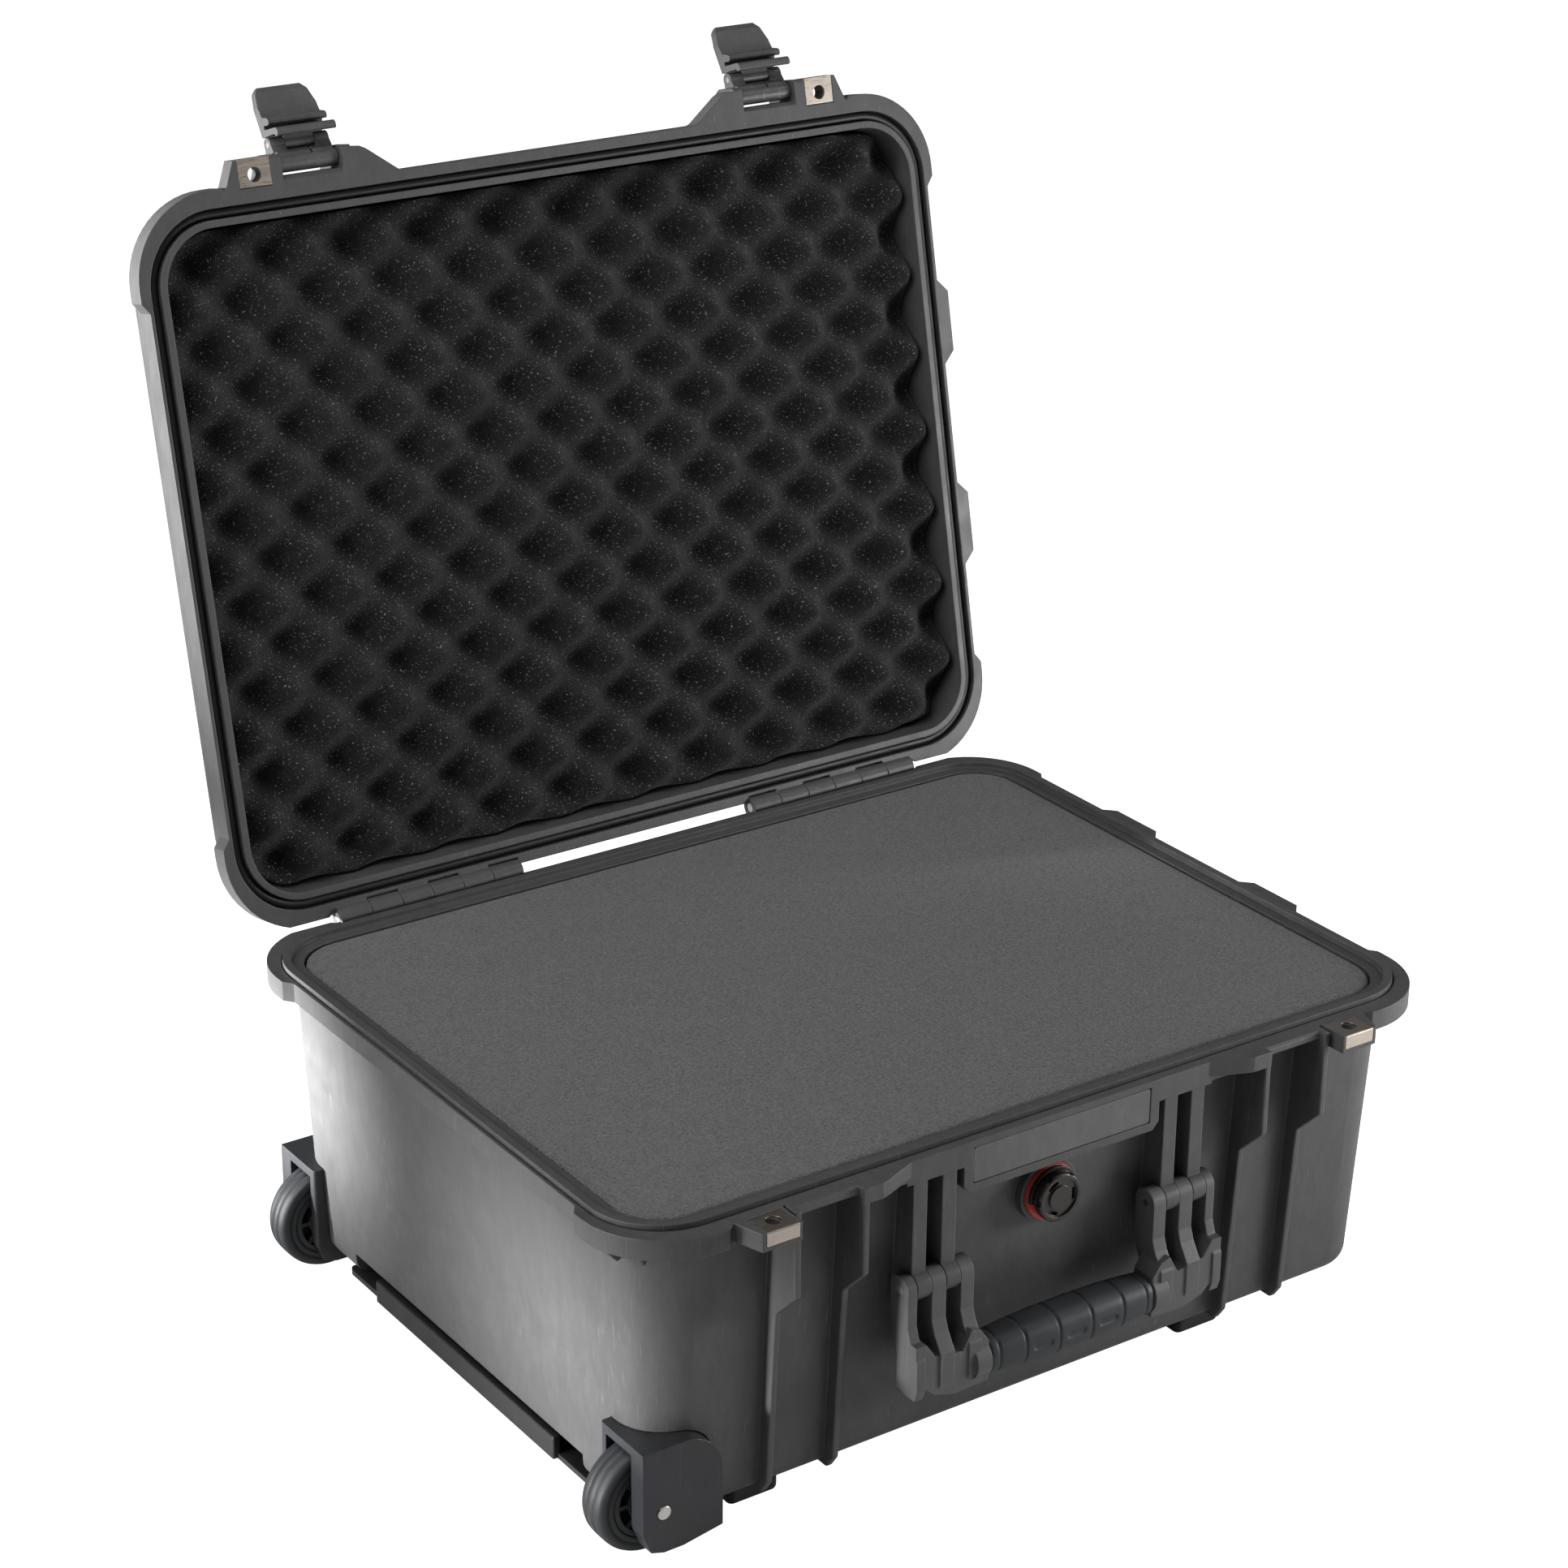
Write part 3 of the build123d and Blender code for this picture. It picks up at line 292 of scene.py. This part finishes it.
dress("base_shell lid_shell", moulded, "shell_plastic",
      base=0.054, light=0.24, rough=0.46, grain=0.6, grain_depth=0.035, scratch=0.4, wear=0.28)
dress("left_latch_link left_latch_lever right_latch_link right_latch_lever",
      moulded, "latch_plastic", base=0.066, light=0.3, rough=0.44,
      grain=0.5, grain_depth=0.03, scratch=0.7, wear=0.5, bevel=0.7)
dress("front_handle_frame side_handle_frame", moulded, "handle_plastic",
      base=0.07, light=0.24, rough=0.48,
      grain=0.55, grain_depth=0.035, scratch=0.35, wear=0.35, bevel=0.9)
dress("name_plate", moulded, "plate_plastic", base=0.088, light=0.2, rough=0.55,
      grain=0.4, grain_depth=0.02, scratch=0.3, wear=0.2, bevel=0.5)
dress("front_wheel_housing rear_wheel_housing "
      "pull_handle_grip pull_handle_collar pull_handle_button",
      moulded, "black_plastic", base=0.018, light=0.075, rough=0.42,
      grain=0.7, grain_depth=0.06, scratch=0.3, wear=0.45, bevel=0.9, tint=(0.93, 0.97, 1.1))
dress("bottom_cover", moulded, "cover_plastic", base=0.008, light=0.04, rough=0.5,
      grain=0.7, grain_depth=0.05, scratch=0.6, wear=0.5, bevel=0.8, tint=(0.97, 0.98, 1.03))
dress("front_wheel_hub rear_wheel_hub", moulded, "wheel_hub_plastic",
      base=0.02, light=0.08, rough=0.45,
      grain=0.6, grain_depth=0.03, scratch=0.2, wear=0.3, bevel=0.6, tint=(0.95, 0.97, 1.05))
dress("valve_body valve_cap", moulded, "valve_plastic", base=0.014, light=0.07, rough=0.34,
      grain=0.5, grain_depth=0.02, scratch=0.2, wear=0.5, bevel=0.5, tint=(1.15, 0.98, 0.88))

dress("base_foam_top_layer base_foam_middle_layer base_foam_floor_pad", open_cell, "block_foam",
      base=0.086, speck=0.26, cell=1.0, depth=0.3, sparkle=0.55, tint=(1.0, 1.0, 1.01))
dress("lid_foam", open_cell, "convoluted_foam",
      base=0.010, speck=0.42, cell=1.5, depth=0.45, sparkle=0.5, tint=(0.97, 0.97, 1.06))

dress("base_padlock_plates lid_padlock_plates", metal, "stainless_plate",
      color=(0.5, 0.44, 0.38), rough=0.3, brush=(0.04, 1.0, 1.0), bevel=0.4, dirt=0.35)
dress("hinge_pins latch_hinge_pins left_latch_lever_pin right_latch_lever_pin "
      "front_handle_pins side_handle_pins wheel_axles valve_nut", metal, "steel_pins",
      color=(0.6, 0.58, 0.55), rough=0.34, brush=(0.05, 1.0, 1.0), bevel=0.4)
dress("bottom_cover_screws wheel_housing_screws button_spring_washers", metal, "screws",
      color=(0.16, 0.16, 0.165), rough=0.42, brush=(1, 1, 1), bevel=0.4)
dress("front_wheel_bearings rear_wheel_bearings", metal, "bearing_steel",
      color=(0.72, 0.72, 0.74), rough=0.18, brush=(1, 0.1, 1), bevel=0.3, dirt=0.2)
dress("pull_handle_guide_tubes pull_handle_outer_tubes pull_handle_inner_tubes",
      metal, "tube_aluminium",
      color=(0.66, 0.67, 0.69), rough=0.32, brush=(0.02, 1.0, 1.0), bevel=0.5, dirt=0.2)

dress("front_handle_grip side_handle_grip", rubber, "grip_rubber",
      base=0.023, rough=0.5, grain=0.4, depth=0.03, dust=0.2)
dress("front_wheel_tyre rear_wheel_tyre", rubber, "wheel_rubber",
      base=0.014, rough=0.55, grain=0.5, depth=0.04, dust=0.3)
dress("rubber_feet", rubber, "foot_rubber",
      base=0.012, rough=0.7, grain=0.5, depth=0.05, dust=0.4, tint=NEUTRAL)
dress("lid_seal", rubber, "seal_rubber",
      base=0.007, rough=0.45, grain=0.3, depth=0.015, dust=0.15, tint=NEUTRAL, bevel=0.3)
dress("valve_red_ring", rubber, "red_rubber",
      base=0.36, rough=0.42, grain=0.3, depth=0.012, dust=0.0, tint=(1.45, 0.13, 0.11), bevel=0.4)
dress("valve_membrane", rubber, "membrane",
      base=0.5, rough=0.8, grain=0.2, depth=0.01, dust=0.1, tint=NEUTRAL)


# -------------------------------------------------------------- mesh helpers
def place(points, on_lid):
    """Drawing-frame millimetres to packed-frame metres, with the lid turned open."""
    points = np.array(points, float)
    if on_lid:
        angle = math.radians(-LID_OPEN)
        y, z = points[:, 1] - HINGE_Y, points[:, 2] - HINGE_Z
        points[:, 1] = HINGE_Y + y * math.cos(angle) - z * math.sin(angle)
        points[:, 2] = HINGE_Z + y * math.sin(angle) + z * math.cos(angle)
    return (points + np.array(PACKED_OFFSET)) / 1000.0


def add_object(name, data):
    obj = bpy.data.objects.new(name, data)
    bpy.context.scene.collection.objects.link(obj)
    return obj


def add_piece(name, points, faces, replaces, body, slot):
    """Build a smooth mesh that moves with a body and stands in for a CAD piece."""
    mesh = bpy.data.meshes.new(name)
    mesh.from_pydata(place(points, on_lid=body == "lid").tolist(), [], faces)
    mesh.update()
    bm = bmesh.new()
    bm.from_mesh(mesh)
    bmesh.ops.recalc_face_normals(bm, faces=bm.faces)
    if bm.calc_volume(signed=True) < 0:
        bmesh.ops.reverse_faces(bm, faces=bm.faces)
    for face in bm.faces:
        face.smooth = True
    bm.to_mesh(mesh)
    bm.free()
    obj = add_object(name, mesh)
    mesh.materials.append(MATERIALS[slot])
    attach(obj, body)
    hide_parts(replaces)


def rounded_rectangle(half_x, half_y, radius, step):
    """Points round a rounded rectangle, anticlockwise, with their outward normals."""
    arc_steps = max(6, int(radius * math.pi / 2 / step) + 1)
    x, y = half_x - radius, half_y - radius
    corners = []
    for center_x, center_y, start in ((x, y, 0), (-x, y, 90), (-x, -y, 180), (x, -y, 270)):
        for i in range(arc_steps + 1):
            angle = math.radians(start + 90 * i / arc_steps)
            nx, ny = math.cos(angle), math.sin(angle)
            corners.append(((center_x + radius * nx, center_y + radius * ny), (nx, ny)))
    points, normals = [], []
    for i, (point, normal) in enumerate(corners):
        points.append(point)
        normals.append(normal)
        following = corners[(i + 1) % len(corners)][0]
        gap = math.dist(point, following)
        if gap > step * 1.6:                # a straight side: divide it
            parts = int(gap / step)
            for j in range(1, parts):
                t = j / parts
                points.append((point[0] + (following[0] - point[0]) * t,
                               point[1] + (following[1] - point[1]) * t))
                normals.append(normal)
    return np.array(points), np.array(normals)


def grid_faces(rows, columns, wrap=False, start=0):
    """Quads over rows of points; wrap closes each row into a ring."""
    faces = []
    for i in range(rows - 1):
        for j in range(columns if wrap else columns - 1):
            a = start + i * columns + j
            b = start + i * columns + (j + 1) % columns
            faces.append((a, b, b + columns, a + columns))
    return faces


def torus_faces(sections, sides):
    """Quads over a closed run of closed sections."""
    faces = []
    for i in range(sections):
        here, following = i * sides, (i + 1) % sections * sides
        for j in range(sides):
            k = (j + 1) % sides
            faces.append((here + j, here + k, following + k, following + j))
    return faces


def unevenness(x, y, scale, layer):
    """Smooth noise at each point; layer is the noise's third coordinate."""
    values = [noise.noise(Vector((px * scale, py * scale, layer)))
              for px, py in zip(x.ravel(), y.ravel())]
    return np.array(values).reshape(x.shape)


# ------------------------------------------------------------------ lid foam
def lid_foam():
    """Convoluted sheet with a lattice of peaks and pits, cut to the lid's inside."""
    half_x, half_y, radius = 254.5, 191.0, 30.0
    face_z, thickness = 200.6, 45.0
    columns, rows = 250, 188
    pitch_x, pitch_y = 48.5, 49.8
    pit_x, pit_y = -236.4, -123.4           # middle of one pit
    pit_depth, pit_power = 20.0, 0.85       # a power under 1 broadens the pits
    tear = 0.35                             # height of the torn surface
    edge_round = 1.6

    y, across = np.meshgrid(np.linspace(-half_y, half_y, rows), np.linspace(-1, 1, columns),
                            indexing="ij")
    into_corner = np.maximum(np.abs(y) - (half_y - radius), 0.0)
    reach = half_x - radius + np.sqrt(np.maximum(radius * radius - into_corner**2, 0.0))
    x = across * reach

    wave = np.cos(2 * np.pi * (x - pit_x) / pitch_x) * np.cos(2 * np.pi * (y - pit_y) / pitch_y)
    depth = pit_depth * (0.5 + 0.5 * wave) ** pit_power
    depth += tear * unevenness(x, y, scale=0.22, layer=3.7)
    depth = np.maximum(depth, 0.2)
    from_edge = np.minimum(reach - np.abs(x), half_y - np.abs(y))
    depth += edge_round * np.exp(-np.maximum(from_edge, 0) / edge_round)

    def tapered(z):
        """The sheet's points at heights z, drawn in by the draft."""
        inset = DRAFT * (z - face_z)
        sheet = np.stack([x * (1 - inset / half_x), y * (1 - inset / half_y), z], -1)
        return sheet.reshape(-1, 3)

    points = np.concatenate([tapered(face_z + depth),
                             tapered(np.full_like(x, face_z + thickness))])
    count = columns * rows
    faces = grid_faces(rows, columns)
    faces += [tuple(reversed(quad)) for quad in grid_faces(rows, columns, start=count)]
    rim = list(range(columns))
    rim += [i * columns + columns - 1 for i in range(1, rows)]
    rim += [(rows - 1) * columns + j for j in range(columns - 2, -1, -1)]
    rim += [i * columns for i in range(rows - 2, 0, -1)]
    for p, q in zip(rim, rim[1:] + rim[:1]):
        faces.append((q, p, p + count, q + count))
    add_piece("convoluted_lid_foam", points, faces,
              replaces="lid_foam", body="lid", slot="convoluted_foam")


# ----------------------------------------------------------------- base foam
def base_foam_top():
    """Cut block with a rounded upper edge and a slightly uneven, crowned face."""
    half_x, half_y, radius = 252.44, 189.44, 29.0
    bottom, top = 123.0, 195.8
    soft = 2.6                              # radius of the upper edge
    crown, crown_run = 0.5, 25.0            # rise of the face, and how far in it takes
    ripple = 0.22
    # sizes of the rings that close the face, as fractions of its outline
    face_rings = (0.985, 0.96, 0.92, 0.86, 0.78, 0.68, 0.56, 0.43, 0.3, 0.18, 0.08)

    outline, normals = rounded_rectangle(half_x, half_y, radius, step=5.0)
    count = len(outline)
    wall = (bottom, bottom + 8, *np.arange(bottom + 16, top - soft - 2, 10))
    levels = [(z, 0.0) for z in wall]       # z, inset
    for i in range(7):
        angle = math.pi / 2 * i / 6
        levels.append((top - soft + soft * math.sin(angle), soft * (1 - math.cos(angle))))
    rings = []
    for z, inset in levels:
        ring = outline - normals * ((top - z) * DRAFT + inset)
        rings.append(np.column_stack([ring, np.full(count, z)]))

    face_edge = rings[-1][:, :2]
    for fraction in face_rings:
        ring = face_edge * fraction
        x, y = ring[:, 0], ring[:, 1]
        from_edge = np.minimum(half_x - np.abs(x), half_y - np.abs(y))
        rise = crown * (1 - np.exp(-from_edge / crown_run))
        rise += ripple * unevenness(x, y, scale=0.02, layer=1.3)
        rings.append(np.column_stack([ring, top + rise]))

    points = np.concatenate(rings)
    faces = grid_faces(len(rings), count, wrap=True)
    faces.append(tuple(range(count - 1, -1, -1)))
    faces.append(tuple(range(len(points) - count, len(points))))
    add_piece("soft_base_foam_top", points, faces,
              replaces="base_foam_top_layer", body="base", slot="block_foam")


# ------------------------------------------------------------------ lid seal
def lid_seal():
    """Flattened ring of rubber round the lid's opening."""
    opening_x, opening_y, opening_radius = 253.5, 190.5, 30.0
    outset = 9.75                           # opening's edge to the seal's middle
    half_width, half_height = 2.7, 1.85
    middle_z = 201.8
    sides = 14
    path, normals = rounded_rectangle(opening_x + outset, opening_y + outset,
                                      opening_radius + outset, step=3.0)
    rings = []
    for i in range(sides):
        angle = 2 * math.pi * i / sides
        ring = path + normals * (half_width * math.cos(angle))
        z = middle_z + half_height * math.sin(angle)
        rings.append(np.column_stack([ring, np.full(len(path), z)]))
    points = np.stack(rings, 1).reshape(-1, 3)
    add_piece("lid_o_ring", points, torus_faces(len(path), sides),
              replaces="lid_seal", body="lid", slot="seal_rubber")


# --------------------------------------------------------------------- grips
GRIP_HALF = 56.3
GRIP_BORE = 7.06                            # radius of the hole
GRIP_GROOVES = (                            # x, depth, width of each groove round the grip
    (-33.5, 0.85, 0.75), (-11.2, 0.85, 0.75), (11.2, 0.85, 0.75), (33.5, 0.85, 0.75),
    (-50.5, 0.7, 0.8), (50.5, 0.7, 0.8),
)
SLOT_X = (-22.4, 0.0, 22.4)
SLOT_ANGLES = (55, -55, 180)                # degrees round the grip, from its +y side
SLOT_HALF_LENGTH, SLOT_HALF_WIDTH, SLOT_DEPTH = 6.2, 2.1, 0.9


def grip_radius(x, angle):
    """Radius of the sleeve's outside at each x and angle."""
    middle_radius, taper, taper_power = 14.25, 2.6, 2.4
    end_round = 2.2
    squareness = 0.035
    slot_radius = 13.5                      # turns the angle from a slot into a length
    radius = middle_radius - taper * np.abs(x / GRIP_HALF) ** taper_power
    end = np.clip((GRIP_HALF - np.abs(x)) / end_round, 0, 1)
    radius -= end_round * (1 - np.sqrt(1 - (1 - end) ** 2))
    radius = radius * (0.965 * (1.0 - squareness * np.cos(4 * angle)))
    for groove_x, depth, width in GRIP_GROOVES:
        radius -= depth * np.exp(-((x - groove_x) / width) ** 2)
    for slot_x in SLOT_X:
        for slot_angle in SLOT_ANGLES:
            around = np.angle(np.exp(1j * (angle - math.radians(slot_angle)))) * slot_radius
            oval = ((x - slot_x) / SLOT_HALF_LENGTH) ** 4 + (around / SLOT_HALF_WIDTH) ** 4
            radius -= SLOT_DEPTH / (1 + np.exp((oval - 1) * 5))
    return radius


def grip(name, replaces, body, side):
    """Crowned rubber sleeve with grooves round it and rows of oval slots."""
    stations, around = 280, 144
    angles = np.linspace(0, 2 * np.pi, around, endpoint=False)
    x, angle = np.meshgrid(np.linspace(-GRIP_HALF, GRIP_HALF, stations), angles, indexing="ij")
    radius = grip_radius(x, angle)
    outer = np.stack([x, radius * np.cos(angle), radius * np.sin(angle)], -1).reshape(-1, 3)
    twice = np.tile(angles, 2)
    bore = np.stack([np.repeat([-GRIP_HALF, GRIP_HALF], around),
                     GRIP_BORE * np.cos(twice), GRIP_BORE * np.sin(twice)], -1)
    x, y, z = np.concatenate([outer, bore]).T

    faces = grid_faces(stations, around, wrap=True)
    outer_end = (stations - 1) * around     # first point of the +x rim
    near, far = len(outer), len(outer) + around
    for j in range(around):
        k = (j + 1) % around
        faces.append((near + k, near + j, far + j, far + k))
        faces.append((j, k, near + k, near + j))
        faces.append((outer_end + k, outer_end + j, far + j, far + k))

    if side:                                # the sleeve runs along y
        points = np.column_stack([SIDE_GRIP_X - y, x, z + GRIP_Z])
    else:
        points = np.column_stack([x, y + FRONT_GRIP_Y, z + GRIP_Z])
    add_piece(name, points, faces, replaces=replaces, body=body, slot="grip_rubber")


# --------------------------------------------------------------------- tyres
# y from the tyre's middle and radius, from the inner edge at -y up to the tread's middle
TYRE_PROFILE = (
    (-9.4, 21.0), (-9.8, 22.0), (-9.9, 23.6), (-9.5, 24.0), (-9.5, 25.2), (-9.95, 25.6),
    (-9.9, 27.2), (-9.4, 28.8), (-8.4, 30.0), (-6.8, 30.7), (-4.4, 30.95), (-3.7, 30.95),
    (-3.4, 30.35), (-2.8, 30.35), (-2.5, 30.98), (0, 31.0),
)
AXLE_Z = TYRE_PROFILE[-1][1]                # the tyre touches z = 0


def tyre(name, replaces, body, middle_y):
    """Solid tyre: rounded shoulders, two grooves round the tread, small side steps."""
    sections = 160
    profile = TYRE_PROFILE + tuple((-y, radius) for y, radius in TYRE_PROFILE[-2::-1])
    points = []
    for i in range(sections):
        angle = 2 * math.pi * i / sections
        for y, radius in profile:
            points.append((AXLE_X + radius * math.cos(angle), middle_y + y,
                           AXLE_Z + radius * math.sin(angle)))
    add_piece(name, points, torus_faces(sections, len(profile)),
              replaces=replaces, body=body, slot="wheel_rubber")


# ---------------------------------------------------------------------- feet
def feet():
    """Four rubber blocks with rounded corners and lower edges."""
    # z, inset
    levels = ((13.0, 0.3), (12.6, 0.0), (3.0, 0.0), (1.5, 0.25), (0.6, 0.8), (0.1, 1.6))
    outline, normals = rounded_rectangle(16.0, 12.0, 4.0, step=1.2)
    count = len(outline)
    rings = [(outline - normals * inset, z) for z, inset in levels]
    sole = rings[-1][0]
    rings += [(sole * fraction, 0.0) for fraction in (0.8, 0.6, 0.4, 0.2)]
    points, faces = [], []
    for foot_x in FOOT_X:
        for foot_y in (FOOT_Y, -FOOT_Y):
            start = len(points)
            for ring, z in rings:
                points += [(foot_x + x, foot_y + y, z) for x, y in ring]
            faces += grid_faces(len(rings), count, wrap=True, start=start)
            faces.append(tuple(range(start, start + count)))
            faces.append(tuple(range(len(points) - count, len(points))))
    add_piece("rubber_feet_set", points, faces,
              replaces="rubber_feet", body="base", slot="foot_rubber")


lid_foam()
base_foam_top()
lid_seal()
grip("front_rubber_grip", "front_handle_grip", "front_handle", side=False)
grip("side_rubber_grip", "side_handle_grip", "side_handle", side=True)
tyre("front_rubber_tyre", "front_wheel_tyre", "front_wheel", middle_y=-WHEEL_Y)
tyre("rear_rubber_tyre", "rear_wheel_tyre", "rear_wheel", middle_y=WHEEL_Y)
feet()


# --------------------------------------------------------------- stage (m, W)
AMBIENT = 0.13                              # world light on the case; the camera sees white
FLOOR_GLOW = 1.0                            # seen by the camera only


def floor_paper():
    s = Shader("floor_paper")
    cloud = s.ramp(s.noise(scale=0.02, detail=3.0, rough=0.5), span=(0.3, 0.7))
    rays = s.node("ShaderNodeLightPath")
    s.put(s.bsdf.inputs["Emission Color"], shade(1.0))
    s.put(s.bsdf.inputs["Emission Strength"],
          s.math("MULTIPLY", rays.outputs["Is Camera Ray"], FLOOR_GLOW))
    return s.finish(s.mix(cloud, shade(0.78), shade(0.8)), rough=0.9, specular=0.02)


def add_floor():
    mesh = bpy.data.meshes.new("floor")
    bm = bmesh.new()
    bmesh.ops.create_grid(bm, x_segments=2, y_segments=2, size=30.0)
    bm.to_mesh(mesh)
    bm.free()
    floor = add_object("floor", mesh)
    floor.location = (0, 0, -0.0002)        # just clear of the feet
    mesh.materials.append(floor_paper())


def add_world():
    world = bpy.data.worlds.new("studio")
    bpy.context.scene.world = world
    world.use_nodes = True
    tree = world.node_tree
    background = tree.nodes["Background"]
    background.inputs[0].default_value = (1.0, 1.0, 1.0, 1.0)
    rays = tree.nodes.new("ShaderNodeLightPath")
    strength = tree.nodes.new("ShaderNodeMapRange")
    strength.inputs["To Min"].default_value = AMBIENT
    strength.inputs["To Max"].default_value = 1.0
    tree.links.new(rays.outputs["Is Camera Ray"], strength.inputs["Value"])
    tree.links.new(strength.outputs[0], background.inputs[1])


def add_light(name, kind, at, target, power, **settings):
    light = bpy.data.lights.new(name, kind)
    light.energy = power
    for key, value in settings.items():
        setattr(light, key, value)
    obj = add_object(name, light)
    obj.location = at
    obj.rotation_mode = "QUATERNION"
    obj.rotation_quaternion = (Vector(target) - Vector(at)).to_track_quat("-Z", "Y")


def area(name, at, target, size, power):
    add_light(name, "AREA", at, target, power, shape="RECTANGLE", size=size[0], size_y=size[1])


def spot(name, at, target, half_angle, power, soft):
    """A spot with a fully feathered cone; soft is the radius of its source."""
    add_light(name, "SPOT", at, target, power, spot_size=math.radians(2 * half_angle),
              spot_blend=1.0, shadow_soft_size=soft)


def add_camera():
    data = bpy.data.cameras.new("camera")
    data.sensor_width = 36.0
    data.lens = 85.17
    data.clip_start, data.clip_end = 0.02, 100.0
    camera = add_object("camera", data)
    camera.rotation_mode = "QUATERNION"
    camera.location = (-1.12243, -1.61289, 1.12912)
    camera.rotation_quaternion = Matrix((
        (0.82351332, 0.2172633, -0.52404435),
        (-0.5672371, 0.32877318, -0.75508296),
        (0.00823991, 0.91907826, 0.39398889),
    )).to_quaternion()
    bpy.context.scene.camera = camera


add_floor()
add_world()
area("left", at=(-1.95, 0.55, 0.36), target=(-0.28, 0.0, 0.2), size=(0.7, 0.5), power=5)
spot("lid_left", at=(-1.8, 0.75, 0.62), target=(-0.28, 0.25, 0.50),
     half_angle=8.8, power=500, soft=0.04)
spot("wall_far", at=(-1.5, 0.75, 0.16), target=(-0.27, 0.16, 0.13),
     half_angle=5.0, power=1000, soft=0.05)
area("rim_left", at=(-1.3, 0.05, 0.85), target=(-0.2, 0.0, 0.2), size=(0.5, 0.5), power=7)
spot("wall_near", at=(-1.4, -0.1, 0.12), target=(-0.27, -0.17, 0.08),
     half_angle=6.6, power=220, soft=0.08)
area("lid_key", at=(1.34, -0.54, 1.94), target=(0.0, 0.25, 0.4), size=(0.5, 0.5), power=5)
area("top_left", at=(-0.9, -0.1, 1.8), target=(-0.1, 0.0, 0.2), size=(0.9, 0.9), power=15)
area("front_right", at=(1.05, -0.8, 0.35), target=(0.3, -0.2, 0.14), size=(0.5, 0.4), power=13)
add_camera()
bpy.context.scene.view_settings.view_transform = "Standard"
